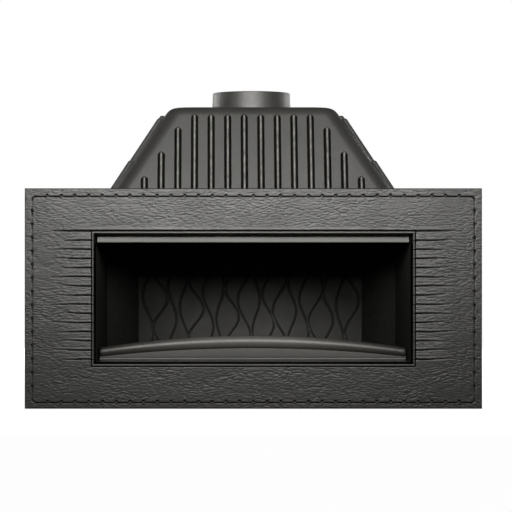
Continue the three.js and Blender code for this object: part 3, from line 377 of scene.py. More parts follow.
# The roll is a paler copy of the guard's iron as painted light for its highlight, with painted shade at its
# ends.
roll_iron = painted_iron("painted_roll_iron", (0.1, 0.125, 0.25), 800, 0.0002, patches=6, wear_highlight=0.5, painted_shade=0.7,
                         dull=0.48, painted_light_spot=(0.0, 0.13, 0.25, 0.5))
steel = painted_iron("blackened_steel", (0.07, 0.11, 0.3), 1500, 0.00005, patches=30, wear_highlight=0.6, painted_shade=0.5,
                     dull=0.46, sheen=0.36, warm=0.03, metallic=0.85)
# The lintel's tone is much paler than the other iron: painted light for its bright strip.
lintel_iron = painted_iron("painted_lintel_iron", (0.2, 0.22, 0.3), 800, 0.0002, patches=6, wear_highlight=0.3, painted_shade=0.5)
# The fireback's spot paints a pool of light low in the middle and shade towards its edges and top.
fireback_iron = painted_iron("painted_fireback_iron", (0.05, 0.065, 0.14), 800, 0.0004, patches=12, wear_highlight=0.4,
                             painted_shade=0.8, dull=0.66, sheen=0.54, specular=0.5, painted_light_spot=(0.02, 0.13, 0.2, 0.1))
lining_iron = painted_iron("painted_lining_iron", (0.028, 0.04, 0.12), 800, 0.0004, patches=12, wear_highlight=0.4,
                           painted_shade=0.9, dull=0.66, sheen=0.54, specular=0.5)
# The trim's return wall is painted dark from a depth behind the front on: painted shade in the mouth's reveal.
trim_iron = painted_iron("painted_trim_iron", (0.034, 0.046, 0.12), 900, 0.0001, patches=10, wear_highlight=0.45,
                         painted_shade=0.98, dull=0.46, sheen=0.4, marked=True, painted_shade_depth=(-0.2385, -0.2365))
# A darker copy of the lining iron, painted shade for plates that face away from the light.
shaded_lining_iron = painted_iron("lining_iron_painted_shade", (0.012, 0.019, 0.05), 800, 0.0004, patches=12, wear_highlight=0.2, painted_shade=0.8,
                         dull=0.82, sheen=0.7, specular=0.2)
rope = painted_iron("braided_rope", (0.045, 0.07, 0.12), 900, 0.0004, patches=40, wear_highlight=0.4, painted_shade=0.3, dull=0.95,
                    sheen=0.9, specular=0.2, warm=0.14, metallic=0.0)

# %% [markdown]
# The facade was cast from a pattern that imitates stitched leather: creases run across it, a seam of stitches
# follows its border, and the leather is gathered into pleats beside the mouth. Relief like this could be only a
# bump in the material, but then the mesh would be flat. Here it is real: the height of every point follows one
# function of its place, made of seeded noise for the creases and plain formulas for seam and pleats.

# %% Noise that the creases are made of
def lattice_noise(u, v, seed):
    turns = np.random.default_rng(seed).uniform(0, 2 * np.pi, (256, 256))
    column, row = np.floor(u).astype(int), np.floor(v).astype(int)
    across, up = u - column, v - row

    def pull(step_u, step_v):
        turn = turns[(column + step_u) % 256, (row + step_v) % 256]
        return np.cos(turn) * (across - step_u) + np.sin(turn) * (up - step_v)

    ease_u = across ** 3 * (across * (across * 6 - 15) + 10)
    ease_v = up ** 3 * (up * (up * 6 - 15) + 10)
    low = pull(0, 0) * (1 - ease_u) + pull(1, 0) * ease_u
    high = pull(0, 1) * (1 - ease_u) + pull(1, 1) * ease_u
    return 1.4 * (low * (1 - ease_v) + high * ease_v)


def cell_edges(u, v, seed):
    places = np.random.default_rng(seed).uniform(0.08, 0.92, (2, 128, 128))
    column, row = np.floor(u).astype(int), np.floor(v).astype(int)
    nearest = np.full(u.shape, 9.0)
    second = np.full(u.shape, 9.0)
    for step_u in (-1, 0, 1):
        for step_v in (-1, 0, 1):
            at = (column + step_u) % 128, (row + step_v) % 128
            away = np.hypot(column + step_u + places[0][at] - u, row + step_v + places[1][at] - v)
            second = np.minimum(second, np.maximum(nearest, away))
            nearest = np.minimum(nearest, away)
    return second - nearest


PUFF_LONG, PUFF_HIGH, PUFF_RISE = 21.0, 5.4, 0.95
GRAIN_LONG, GRAIN_HIGH, GRAIN_RISE = 9.5, 2.9, 0.42
CREASE_RISE, SWELL_RISE = 0.5, 0.35


def leather(x, z):
    drift = (7.0 * lattice_noise(x / 62 + 7.3, z / 37 + 2.1, 11)
             + 1.8 * lattice_noise(x / 17 + 4.4, z / 9 + 1.2, 17))
    shift = 9.0 * lattice_noise(x / 33 + 2.8, z / 19 + 5.6, 18)
    vigour = np.clip(0.72 + 0.6 * lattice_noise(x / 90 + 3.7, z / 48 + 9.2, 12), 0.25, 1.2)
    puff = cell_edges((x + shift) / PUFF_LONG + 60, (z + drift) / PUFF_HIGH + 60, 13)
    grain = cell_edges((x + 0.4 * shift) / GRAIN_LONG + 60, (z + 0.6 * drift) / GRAIN_HIGH + 60, 14)
    crease = np.abs(lattice_noise(x / 71 + 5.1, (z + 0.3 * x + drift) / 21.0 + 8.8, 15))
    swell = lattice_noise(x / 95 + 1.9, z / 52 + 6.3, 16)
    return (vigour * (PUFF_RISE * (np.minimum(puff / 0.42, 1) ** 0.6 - 0.75)
                      + GRAIN_RISE * (np.minimum(grain / 0.5, 1) ** 0.7 - 0.6))
            + CREASE_RISE * (np.minimum(crease / 0.12, 1) ** 0.7 - 0.9) + SWELL_RISE * swell)


print("leather rises", leather(np.linspace(0, 900, 900), np.linspace(0, 400, 900)).round(2).max(), "mm")

# %% [markdown]
# Pleats, seam and grooves are formulas laid over the leather. A pleat is a dark groove with a raised lip just
# above it, deepest beside the mouth and fading outwards. The seam is a thin groove that arches over a small
# button at every stitch along the upper and lower border, turns round the corners, and runs down the sides in
# dashes with a small hole at every stitch.

# %% Sizes of the facade's relief
FACADE_HALF_WIDTH, FACADE_TOP, FACADE_FOOT = 500.0, 484.0, 2.0
FACADE_FRONT = node_box("facade")[0][1]
LEATHER_DEPTH = 2.0
SKIN_BACK, RIM_BACK, RIM_WIDTH = 9.5, 26.5, 8.0
MOUTH_HALF_WIDTH, MOUTH_FOOT, MOUTH_TOP = 349.5, 99.0, 386.0
BEAD_WIDTH, BEAD_INNER, TRIM_GROOVE_PLACE, LEATHER_SHARE = 3.6, 0.8, 4.6, 0.8
SEAM_TOP_INSET, SEAM_FOOT_INSET, SEAM_SIDE_INSET = 18.3, 13.6, 16.6
SEAM_WIDTH, SEAM_DEPTH, SEAM_CALM, SEAM_CORNER = 0.95, 2.8, 5.0, 9.0
STITCH_PITCH_ACROSS, STITCHES_ACROSS = 30.0, 31
STITCH_PITCH_UP, STITCHES_UP = 29.5, 14
ARCH_HALF_WIDTH, ARCH_RISE, BUTTON_RISE = 4.0, 4.0, 1.5
HOLE_RADIUS, HOLE_DEPTH = 2.5, 3.2
PLEATS, PLEAT_FOOT, PLEAT_PITCH = 14, 110.3, 20.0
PLEAT_LENGTH, PLEAT_VARIES, PLEAT_DEPTH, LIP_RISE = 76.0, 14.0, 2.7, 1.4
FOLD_HEIGHT, FOLD_HALF_LENGTH = 390.9, 444.0


def hump(distance, width):
    return np.exp(-(distance / width) ** 2)


def seam(x, z):
    seam_top, seam_foot = FACADE_TOP - SEAM_TOP_INSET, FACADE_FOOT + SEAM_FOOT_INSET
    seam_side = FACADE_HALF_WIDTH - SEAM_SIDE_INSET
    turn_x = np.abs(x) - seam_side + SEAM_CORNER
    turn_z = np.maximum(z - seam_top, seam_foot - z) + SEAM_CORNER
    inside_x, inside_z = np.clip(0.5 - turn_x / 2, 0, 1), np.clip(0.5 - turn_z / 2, 0, 1)
    reach = STITCH_PITCH_ACROSS * (STITCHES_ACROSS - 1) / 2
    stitch = np.clip(np.round(x / STITCH_PITCH_ACROSS) * STITCH_PITCH_ACROSS, -reach, reach)
    beside = np.clip(np.abs(x - stitch) / ARCH_HALF_WIDTH, 0, 1)
    arch = ARCH_RISE * np.sqrt(1 - beside ** 2)
    height, calm = np.zeros_like(x), np.zeros_like(x)
    for line in (seam_top, seam_foot):
        groove = hump(z - line - arch, SEAM_WIDTH + 0.5 * (1 - beside))
        button = hump(z - line - 0.3 * ARCH_RISE, 1.9) * hump(x - stitch, 2.1)
        height += inside_x * (-SEAM_DEPTH * groove + BUTTON_RISE * button)
        calm += inside_x * hump(z - line - 1, SEAM_CALM)
    round_corner = hump(np.hypot(turn_x, turn_z) - SEAM_CORNER, SEAM_WIDTH)
    height -= SEAM_DEPTH * round_corner * (1 - inside_x) * (1 - inside_z)
    middle = (FACADE_TOP + FACADE_FOOT) / 2
    row = np.clip(np.round((z - middle) / STITCH_PITCH_UP - 0.5) + 0.5, -(STITCHES_UP - 1) / 2,
                  (STITCHES_UP - 1) / 2)
    from_row = z - middle - row * STITCH_PITCH_UP
    from_hole = np.hypot(np.abs(x) - seam_side, from_row)
    dash = 0.35 + 0.65 * hump(from_row + 0.12 * STITCH_PITCH_UP, 0.25 * STITCH_PITCH_UP)
    height -= inside_z * (0.8 * SEAM_DEPTH * dash * hump(np.abs(x) - seam_side, 1.2 * SEAM_WIDTH)
                          + HOLE_DEPTH * hump(from_hole, HOLE_RADIUS))
    calm += inside_z * hump(np.abs(x) - seam_side, SEAM_CALM)
    return height, np.clip(calm, 0, 1)


def pleats(x, z):
    side = np.sign(x)
    height = np.zeros_like(x)
    calm = np.zeros_like(x)
    for count in range(PLEATS):
        length = PLEAT_LENGTH + PLEAT_VARIES * np.sin(2.4 * count + side)
        along = (np.abs(x) - MOUTH_HALF_WIDTH - TRIM_GROOVE_PLACE) / length
        fade = np.clip(1 - np.clip(along, 0, 1), 0, 1) ** 0.7
        wander = 1.6 * np.sin(0.045 * np.abs(x) + 1.9 * count + side)
        line = PLEAT_FOOT + PLEAT_PITCH * count + wander * np.clip(along, 0, 1)
        height += fade * (LIP_RISE * hump(z - line - 3.4, 2.2) - PLEAT_DEPTH * hump(z - line, 1.15)
                          + 0.45 * LIP_RISE * hump(z - line - 9, 4.5))
        calm += fade * hump(z - line, 5.0)
    fold_fade = np.clip((FOLD_HALF_LENGTH - np.abs(x)) / 110, 0, 1) ** 0.6
    height += fold_fade * (0.8 * hump(z - FOLD_HEIGHT - 3.4, 2.4) - 4.2 * hump(z - FOLD_HEIGHT, 1.5))
    return height, np.clip(calm, 0, 1)


def trim_groove(x, z):
    beside = np.maximum(np.abs(x) - MOUTH_HALF_WIDTH, np.maximum(z - MOUTH_TOP, MOUTH_FOOT - z))
    return -2.2 * hump(beside - TRIM_GROOVE_PLACE, 0.9)


def facade_height(x, z):
    gathers, calm = pleats(x, z)
    stitches, still = seam(x, z)
    hide = LEATHER_SHARE * leather(x, z) * (1 - 0.45 * calm) * (1 - 0.7 * still)
    height = hide + gathers + stitches + trim_groove(x, z)
    return np.clip(height, -5.0, LEATHER_DEPTH - 0.05)


def crest_share(x, z, reach=2.2):
    around = (facade_height(x + reach, z) + facade_height(x - reach, z) + facade_height(x, z + reach)
              + facade_height(x, z - reach)) / 4
    return facade_height(x, z) - around


# These crest values later paint highlights on raised places and shade in the creases, through the finish.
def mark_crests(piece):
    count = len(piece.data.vertices)
    place = np.empty(count * 3)
    piece.data.vertices.foreach_get("co", place)
    place = place.reshape(-1, 3) / MM
    crest = crest_share(place[:, 0], place[:, 2])
    crest[place[:, 1] > FACADE_FRONT + LEATHER_DEPTH + 4] = 0
    layer = piece.data.attributes.new("crest", "FLOAT", "POINT")
    layer.data.foreach_set("value", crest.astype(np.float32))
    print(piece.name, "crests from", crest.min().round(2), "to", crest.max().round(2), "mm")


print("relief:", PLEATS, "pleats a side,", STITCHES_ACROSS, "stitches across")

# %% [markdown]
# The relief needs a fine mesh, so the facade is made of three closed castings that share their borders: a rim
# with the outer edge, a field, and the moulding round the mouth. The joint between rim and field, and the one
# between field and moulding, use the same height function on both sides, so they can't be seen.

# %% Rings and grids that the facade is made of
def ring_points(half_x, low_z, high_z, count_x, count_z):
    x = np.linspace(-half_x, half_x, count_x + 1)
    z = np.linspace(low_z, high_z, count_z + 1)
    bottom = np.stack([x[:-1], np.full(count_x, low_z)], 1)
    right = np.stack([np.full(count_z, half_x), z[:-1]], 1)
    top = np.stack([x[:0:-1], np.full(count_x, high_z)], 1)
    left = np.stack([np.full(count_z, -half_x), z[:0:-1]], 1)
    return np.concatenate([bottom, right, top, left])


def ring_piece(name, rings):
    count = len(rings[0])
    points = np.concatenate(rings)
    step = np.arange(count)
    ahead = (step + 1) % count
    faces = []
    for place in range(len(rings)):
        here, beyond = place * count, (place + 1) % len(rings) * count
        faces.append(np.stack([here + step, here + ahead, beyond + ahead, beyond + step], 1))
    return mesh_piece(name, points, np.concatenate(faces))


def finish_casting(piece, material):
    crease(face_outwards(piece), 50)
    mark_crests(piece)
    return settle(piece, material, stands_for=["facade"])


def facing(xz, height=None, depth=None):
    place = np.empty((len(xz), 3))
    place[:, 0], place[:, 2] = xz[:, 0], xz[:, 1]
    place[:, 1] = FACADE_FRONT + (LEATHER_DEPTH - height if depth is None else depth)
    return place


print("rings ready")

# %% The facade's rim with its seam
FIELD_INSET = 27.0
RIM_STEP = 1.25
rim_counts = (round(2 * FACADE_HALF_WIDTH / RIM_STEP), round((FACADE_TOP - FACADE_FOOT) / RIM_STEP))


def rim_ring(inset):
    return ring_points(FACADE_HALF_WIDTH - inset, FACADE_FOOT + inset, FACADE_TOP - inset, *rim_counts)


rim_insets = np.concatenate([[0.9, 1.6, 2.4], np.linspace(3.4, FIELD_INSET, 20)])
rim_rings = []
for inset in rim_insets:
    flat = rim_ring(inset)
    falloff = np.clip((inset - 0.9) / 3.0, 0, 1)
    rolled = 1.6 * (1 - np.clip((inset - 0.9) / 1.8, 0, 1)) ** 2
    rim_rings.append(facing(flat, falloff * facade_height(flat[:, 0], flat[:, 1]) - rolled))
rim_back = rim_ring(FIELD_INSET)
rim_rings += [facing(rim_back, depth=SKIN_BACK), facing(rim_ring(RIM_WIDTH), depth=SKIN_BACK),
              facing(rim_ring(RIM_WIDTH), depth=RIM_BACK), facing(rim_ring(0.8), depth=RIM_BACK),
              facing(rim_ring(0.0), depth=RIM_BACK - 0.8), facing(rim_ring(0.0), depth=6.0)]
finish_casting(ring_piece("facade_rim", rim_rings), facade_iron)

# %% The facade's field of creases and pleats
MOULDING_OUTER = 7.4
FIELD_STEP_X, FIELD_STEP_Z = 2.15, 1.13


def grid_lines(low, high, step, breaks):
    marks = [low, *breaks, high]
    parts = [np.linspace(a, b, max(1, round((b - a) / step)) + 1)[:-1] for a, b in zip(marks, marks[1:])]
    return np.concatenate(parts + [[high]])


field_half = FACADE_HALF_WIDTH - FIELD_INSET + 0.6
field_foot, field_top = FACADE_FOOT + FIELD_INSET - 0.6, FACADE_TOP - FIELD_INSET + 0.6
hole_half = MOUTH_HALF_WIDTH + MOULDING_OUTER
hole_foot, hole_top = MOUTH_FOOT - MOULDING_OUTER, MOUTH_TOP + MOULDING_OUTER
field_x = grid_lines(-field_half, field_half, FIELD_STEP_X, [-hole_half, hole_half])
field_z = grid_lines(field_foot, field_top, FIELD_STEP_Z, [hole_foot, hole_top])
grid_x, grid_z = np.meshgrid(field_x, field_z)
columns = len(field_x)
cell_x, cell_z = np.meshgrid((field_x[:-1] + field_x[1:]) / 2, (field_z[:-1] + field_z[1:]) / 2)
solid_cell = ~((np.abs(cell_x) < hole_half) & (cell_z > hole_foot) & (cell_z < hole_top))
row_at, column_at = np.nonzero(solid_cell)
corner = row_at * columns + column_at
front_faces = np.stack([corner, corner + 1, corner + columns + 1, corner + columns], 1)
front = facing(np.stack([grid_x.ravel(), grid_z.ravel()], 1),
               facade_height(grid_x.ravel(), grid_z.ravel()) + 0.04)
edge_use = dict.fromkeys((a, b) for face in front_faces for a, b in zip(face, np.roll(face, -1)))
open_edges = [(a, b) for (a, b) in edge_use if (b, a) not in edge_use]
edge_points = sorted({point for edge in open_edges for point in edge})
back_of = {point: len(front) + place for place, point in enumerate(edge_points)}
back = front[edge_points].copy()
back[:, 1] = FACADE_FRONT + SKIN_BACK
walls = [(b, a, back_of[a], back_of[b]) for a, b in open_edges]
print("field:", len(front_faces), "cells,", len(open_edges), "border edges")

# %% Close the field's back between its two borders
def border_loop(half_x, low_z, high_z):
    x, z = front[edge_points, 0], front[edge_points, 2]
    on_side = (np.abs(np.abs(x) - half_x) < 0.01) & (z >= low_z - 0.01) & (z <= high_z + 0.01)
    on_end = ((np.abs(z - low_z) < 0.01) | (np.abs(z - high_z) < 0.01)) & (np.abs(x) <= half_x + 0.01)
    near = np.array(edge_points)[on_side | on_end]
    x, z = front[near, 0], front[near, 2]
    middle = (low_z + high_z) / 2
    u, v = x / half_x, (z - middle) / ((high_z - low_z) / 2)
    biggest = np.maximum(np.abs(u), np.abs(v))
    u, v = u / biggest, v / biggest
    upper = np.where(v >= 1 - 1e-9, 5 - u, 7 - v)
    side = np.where(v <= -1 + 1e-9, u + 1, np.where(u >= 1 - 1e-9, v + 3, upper))
    side = np.where((u <= -1 + 1e-9) & (v <= -1 + 1e-9), 0, side) % 8
    order = np.argsort(side)
    return near[order], side[order]


outer_loop, outer_at = border_loop(field_half, field_foot, field_top)
inner_loop, inner_at = border_loop(hole_half, hole_foot, hole_top)
back_faces = []
i = j = 0
outer_count, inner_count = len(outer_loop), len(inner_loop)
while i < outer_count or j < inner_count:
    next_outer = outer_at[i + 1] if i + 1 < outer_count else 8.0
    next_inner = inner_at[j + 1] if j + 1 < inner_count else 8.0
    here_outer, here_inner = back_of[outer_loop[i % outer_count]], back_of[inner_loop[j % inner_count]]
    if j >= inner_count or (i < outer_count and next_outer <= next_inner):
        back_faces.append((here_outer, here_inner, back_of[outer_loop[(i + 1) % outer_count]]))
        i += 1
    else:
        back_faces.append((here_outer, here_inner, back_of[inner_loop[(j + 1) % inner_count]]))
        j += 1
used = np.unique(front_faces)
field_points = np.concatenate([front, back])
kept = np.zeros(len(field_points), bool)
kept[used] = True
kept[len(front):] = True
renumber = np.cumsum(kept) - 1
field_faces = [tuple(renumber[list(face)]) for face in [*front_faces, *walls, *back_faces]]
finish_casting(mesh_piece("facade_field", field_points[kept], field_faces), facade_iron)

# %% [markdown]
# The moulding round the mouth is a bead, a narrow bevel and the return wall that leads back to the lining. Its
# outline is the same at every point of the mouth, so a handful of rings one inside the other describe it.

# %% The moulding round the mouth
moulding_counts = (round(2 * MOUTH_HALF_WIDTH / 2.2), round((MOUTH_TOP - MOUTH_FOOT) / 1.3))


def mouth_ring(outset):
    return ring_points(MOUTH_HALF_WIDTH + outset, MOUTH_FOOT - outset, MOUTH_TOP + outset, *moulding_counts)


moulding_rings = []
for outset in np.linspace(MOULDING_OUTER + 0.6, BEAD_WIDTH + 0.5, 7):
    flat = mouth_ring(outset)
    moulding_rings.append(facing(flat, facade_height(flat[:, 0], flat[:, 1])))
for turn in np.linspace(0, np.pi, 9):
    flat = mouth_ring((BEAD_WIDTH - BEAD_INNER) / 2 + (BEAD_WIDTH + BEAD_INNER) / 2 * np.cos(turn))
    rise = 0.15 + 1.75 * np.sin(turn) ** 0.6
    moulding_rings.append(facing(flat, np.full(len(flat), rise)))
for outset, depth in ((-1.1, 2.8), (-3.4, 10.2), (-4.4, 11.6), (-5.0, 13.0), (-5.0, 16.0), (-3.0, 19.0),
                      (-3.0, RIM_BACK - 0.4), (-2.2, RIM_BACK), (3.0, RIM_BACK), (3.0, SKIN_BACK),
                      (MOULDING_OUTER + 0.6, SKIN_BACK)):
    moulding_rings.append(facing(mouth_ring(outset), depth=depth))
finish_casting(ring_piece("facade_moulding", moulding_rings), trim_iron)

# %% [markdown]
# The fireback is a thick plate with grooves that wave upwards like flames. Each groove is a sine with its own
# reach, length and start. The plate's front is a height field: at every point the nearest groove decides how
# deep the surface lies, and a rounded valley shape keeps the groove's edges soft as a casting's are.

# %% The fireback
FIREBACK_WAVES, WAVE_WIDTH, WAVE_DEPTH = 18, 5.2, 3.4
WAVE_REACH, WAVE_LENGTH, WAVE_MARGIN = 13.0, 150.0, 22.0
CHEEK_BACK_HALF = 262.7
FIREBACK_STEP = 1.65

fireback_low, fireback_high = node_box("fireback")
wave_foot = fireback_low[2] + WAVE_MARGIN / 2
wave_height = fireback_high[2] - fireback_low[2] - WAVE_MARGIN


def wave_field(x, z):
    depth = np.zeros_like(x)
    rise = np.clip(z - wave_foot, 0, wave_height)
    beyond = np.abs(z - wave_foot - rise)
    half = CHEEK_BACK_HALF - WAVE_MARGIN
    for count in range(FIREBACK_WAVES):
        middle = -half + 2 * half * count / (FIREBACK_WAVES - 1)
        reach = WAVE_REACH * (1 + 0.35 * np.sin(1.9 * count))
        length = WAVE_LENGTH * (1 + 0.12 * np.cos(2.3 * count))
        angle = 2 * np.pi * rise / length + 2.4 * count
        slant = reach * 2 * np.pi / length * np.cos(angle)
        across = np.abs(x - middle - reach * np.sin(angle)) / np.sqrt(1 + slant ** 2)
        away = np.hypot(across, beyond) / (WAVE_WIDTH / 2)
        depth = np.maximum(depth, WAVE_DEPTH * np.clip(1 - away ** 2, 0, 1) ** 0.6)
    return depth


def slab_field(name, low, high, step_x, step_z, front_of, edge=1.2):
    x = grid_lines(low[0], high[0], step_x, [low[0] + edge, high[0] - edge])
    z = grid_lines(low[2], high[2], step_z, [low[2] + edge, high[2] - edge])
    plan_x, plan_z = np.meshgrid(x, z)
    inward = np.minimum(np.minimum(plan_x - low[0], high[0] - plan_x), np.minimum(plan_z - low[2],
                        high[2] - plan_z))
    rolled = edge * (1 - np.sqrt(np.clip(1 - (1 - np.clip(inward / edge, 0, 1)) ** 2, 0, 1)))
    count_x, count_z = len(x), len(z)
    front_side = np.stack([plan_x.ravel(), (front_of(plan_x, plan_z) + rolled).ravel(), plan_z.ravel()], 1)
    row, column = np.meshgrid(np.arange(count_z - 1), np.arange(count_x - 1), indexing="ij")
    corner_at = (row * count_x + column).ravel()
    quads = np.stack([corner_at, corner_at + 1, corner_at + count_x + 1, corner_at + count_x], 1)
    rim = [*range(count_x), *[r * count_x + count_x - 1 for r in range(1, count_z)],
           *[(count_z - 1) * count_x + c for c in range(count_x - 2, -1, -1)],
           *[r * count_x for r in range(count_z - 2, 0, -1)]]
    behind = front_side[rim].copy()
    behind[:, 1] = high[1]
    middle_back = np.array([[(low[0] + high[0]) / 2, high[1], (low[2] + high[2]) / 2]])
    start, total = len(front_side), len(rim)
    walls = [(rim[i], start + i, start + (i + 1) % total, rim[(i + 1) % total]) for i in range(total)]
    fan = [(start + i, start + total, start + (i + 1) % total) for i in range(total)]
    return face_outwards(mesh_piece(name, np.concatenate([front_side, behind, middle_back]),
                                    [*quads.tolist(), *walls, *fan]))


fireback = slab_field("fireback_plate", fireback_low, fireback_high, FIREBACK_STEP, FIREBACK_STEP,
                      lambda x, z: fireback_low[1] + wave_field(x, z)
                      + 0.25 * lattice_noise(x / 40 + 3, z / 40 + 5, 21))
crease(fireback, 60)
settle(fireback, fireback_iron, stands_for=["fireback"])

# %% [markdown]
# The log guard keeps embers in. Its top is a heavy roll that arches gently and thins towards both ends, over a
# flat web with a bead along its foot. Each is an outline that changes a little from one end to the other, so
# each is swept through a row of stations.

# %% Sweep an outline through stations
def sweep(name, stations):
    rings = np.array(stations)
    count, around = rings.shape[:2]
    points = rings.reshape(-1, 3)
    faces = []
    step = np.arange(around)
    ahead = (step + 1) % around
    for place in range(count - 1):
        faces.append(np.stack([place * around + step, place * around + ahead,
                               (place + 1) * around + ahead, (place + 1) * around + step], 1))
    ends = np.array([rings[0].mean(0), rings[-1].mean(0)])
    last = len(points) - around
    caps = [(j, i, len(points)) for i, j in zip(step, ahead)]
    caps += [(last + i, last + j, len(points) + 1) for i, j in zip(step, ahead)]
    return face_outwards(mesh_piece(name, np.concatenate([points, ends]), [*np.concatenate(faces), *caps]))


print("sweep ready")

# %% The log guard
GUARD_HALF, GUARD_FOOT = 339.0, 103.3
ROLL_PLACE_Y, ROLL_MIDDLE_Z, ROLL_FALL = -162.65, 145.3, 23.0
ROLL_RADIUS, ROLL_END_RADIUS = 13.9, 10.4
WEB_FRONT, WEB_BACK, WEB_SHORTER = -166.65, -158.65, 0.0004
BEAD_HIGH, BEAD_PROUD, BEAD_LIFT = 6.0, 3.0, 1.5
ROLL_SIDES, END_ROUND = 28, 3.5

guard_x = np.concatenate([-GUARD_HALF + END_ROUND * (1 - np.cos(np.linspace(0, np.pi / 2, 6))),
                          np.linspace(-GUARD_HALF + 8, GUARD_HALF - 8, 73),
                          GUARD_HALF - END_ROUND * (1 - np.cos(np.linspace(np.pi / 2, 0, 6)))])


def roll_centre(x):
    share = np.abs(x) / GUARD_HALF
    return ROLL_MIDDLE_Z - ROLL_FALL * share ** 2, ROLL_RADIUS - (ROLL_RADIUS - ROLL_END_RADIUS) * share ** 2


turns = np.linspace(0, 2 * np.pi, ROLL_SIDES, endpoint=False)
roll_stations, web_stations = [], []
for x in guard_x:
    centre_z, radius = roll_centre(x)
    from_end = np.clip((GUARD_HALF - abs(x)) / END_ROUND, 0, 1)
    shrink = radius - END_ROUND * (1 - np.sqrt(1 - (1 - from_end) ** 2))
    roll_stations.append([(x, ROLL_PLACE_Y + shrink * np.cos(t), centre_z + shrink * np.sin(t))
                          for t in turns])
    web_top = centre_z - 0.35 * radius
    bead = [(WEB_FRONT - BEAD_PROUD * np.sin(t), GUARD_FOOT + BEAD_LIFT + BEAD_HIGH / 2 * (1 - np.cos(t)))
            for t in np.linspace(0, np.pi, 9)]
    outline = [(WEB_BACK, GUARD_FOOT), (WEB_FRONT, GUARD_FOOT), *bead,
               (WEB_FRONT, web_top), (WEB_BACK, web_top)]
    shorter = WEB_SHORTER * (1.2 if abs(x) > GUARD_HALF - 1 else 1.0)
    web_stations.append([(x * (1 - shorter), y, z) for y, z in outline])
guard_roll = sweep("log_guard_roll", roll_stations)
crease(guard_roll, 60)
settle(guard_roll, roll_iron, "guard", ["log_guard"])
guard_web = sweep("log_guard_web", web_stations)
crease(guard_web, 40)
settle(guard_web, guard_iron, "guard", ["log_guard"])

# %% [markdown]
# The hood narrows upwards and rounds over into its roof, where the collar comes through. Rings of the same
# number of points, from the flange up over the roof and back down inside, make it one closed shell with a real
# wall. The ribs come afterwards, because they follow a rule of their own.

# %% The hood's shell
BODY_MIDDLE_Y, BODY_HALF = 8.15, 360.0
BODY_HALF_DEPTH = 222.0
HOOD_FOOT, HOOD_TOP = 404.0, 670.5
HOOD_TOP_HALF, HOOD_TOP_HALF_DEPTH = 183.5, 120.0
HOOD_WALL, HOOD_CORNER, HOOD_CROWN, INNER_CROWN = 7.0, 35.0, 30.0, 6.0
HOOD_FLANGE, FLUE_HOLE = 10.0, 90.3
SIDE_SLOPE = (BODY_HALF - HOOD_TOP_HALF) / (HOOD_TOP - HOOD_FOOT)
FRONT_SLOPE = (BODY_HALF_DEPTH - HOOD_TOP_HALF_DEPTH) / (HOOD_TOP - HOOD_FOOT)


def rounded_ring(half_x, half_y, radius, z):
    points = []
    for corner, (sign_x, sign_y) in enumerate([(1, 1), (-1, 1), (-1, -1), (1, -1)]):
        for turn in np.linspace(corner, corner + 1, 17) * np.pi / 2:
            points.append((sign_x * (half_x - radius) + radius * np.cos(turn),
                           BODY_MIDDLE_Y + sign_y * (half_y - radius) + radius * np.sin(turn), z))
        along = [0.03, 0.12, 0.3, 0.5, 0.7, 0.88, 0.97]
        next_x, next_y = [(1, 1), (-1, 1), (-1, -1), (1, -1)][(corner + 1) % 4]
        turn = (corner + 1) * np.pi / 2
        end = (next_x * (half_x - radius) + radius * np.cos(turn),
               BODY_MIDDLE_Y + next_y * (half_y - radius) + radius * np.sin(turn))
        start = points[-1]
        points += [(start[0] + (end[0] - start[0]) * share, start[1] + (end[1] - start[1]) * share, z)
                   for share in along]
    return np.array(points)


def hood_half(top_half, slope, top, crown, z):
    lean = np.arctan(slope)
    if z <= top - crown + crown * np.sin(lean):
        return top_half + slope * (top - z)
    centre = top_half - crown * np.tan((np.pi / 2 - lean) / 2)
    return centre + np.sqrt(max(0.0, crown ** 2 - (z - top + crown) ** 2))


def hood_ring(inset, top, crown, z):
    return rounded_ring(hood_half(HOOD_TOP_HALF - inset, SIDE_SLOPE, top, crown, z),
                        hood_half(HOOD_TOP_HALF_DEPTH - inset, FRONT_SLOPE, top, crown, z),
                        HOOD_CORNER - inset, z)


def flue_ring(radius, z):
    outline = rounded_ring(HOOD_TOP_HALF, HOOD_TOP_HALF_DEPTH, HOOD_CORNER, z)
    turn = np.arctan2(outline[:, 1] - BODY_MIDDLE_Y, outline[:, 0])
    return np.stack([radius * np.cos(turn), BODY_MIDDLE_Y + radius * np.sin(turn), outline[:, 2]], 1)


def flange_ring(inset, z):
    return rounded_ring(BODY_HALF + HOOD_FLANGE - inset, BODY_HALF_DEPTH + HOOD_FLANGE - inset,
                        HOOD_FLANGE + 2 - inset, z)


flange_top = HOOD_FOOT + HOOD_FLANGE
crown_rise = [HOOD_CROWN * share for share in (1.0, 0.86, 0.72, 0.58, 0.45, 0.33, 0.22, 0.13, 0.06, 0.015, 0)]
hood_rings = [flange_ring(1.2, HOOD_FOOT), flange_ring(0, HOOD_FOOT + 1.2), flange_ring(0, flange_top - 1.2),
              flange_ring(0.4, flange_top - 0.4), flange_ring(1.2, flange_top)]
foot_fillet = [hood_ring(-4.5 * (1 - np.sin(t)), HOOD_TOP, HOOD_CROWN, flange_top + 4.5 * (1 - np.cos(t)))
               for t in np.linspace(0, np.pi / 2, 5)]
hood_rings += foot_fillet
hood_rings += [hood_ring(0, HOOD_TOP, HOOD_CROWN, z) for z in (flange_top + 8, 480, 560, 610, 632)]
hood_rings += [hood_ring(0, HOOD_TOP, HOOD_CROWN, HOOD_TOP - rise) for rise in crown_rise]
roof = HOOD_TOP - HOOD_WALL
hood_rings += [flue_ring(FLUE_HOLE + 3, HOOD_TOP), flue_ring(FLUE_HOLE + 0.8, HOOD_TOP),
               flue_ring(FLUE_HOLE, HOOD_TOP - 0.8), flue_ring(FLUE_HOLE, roof)]
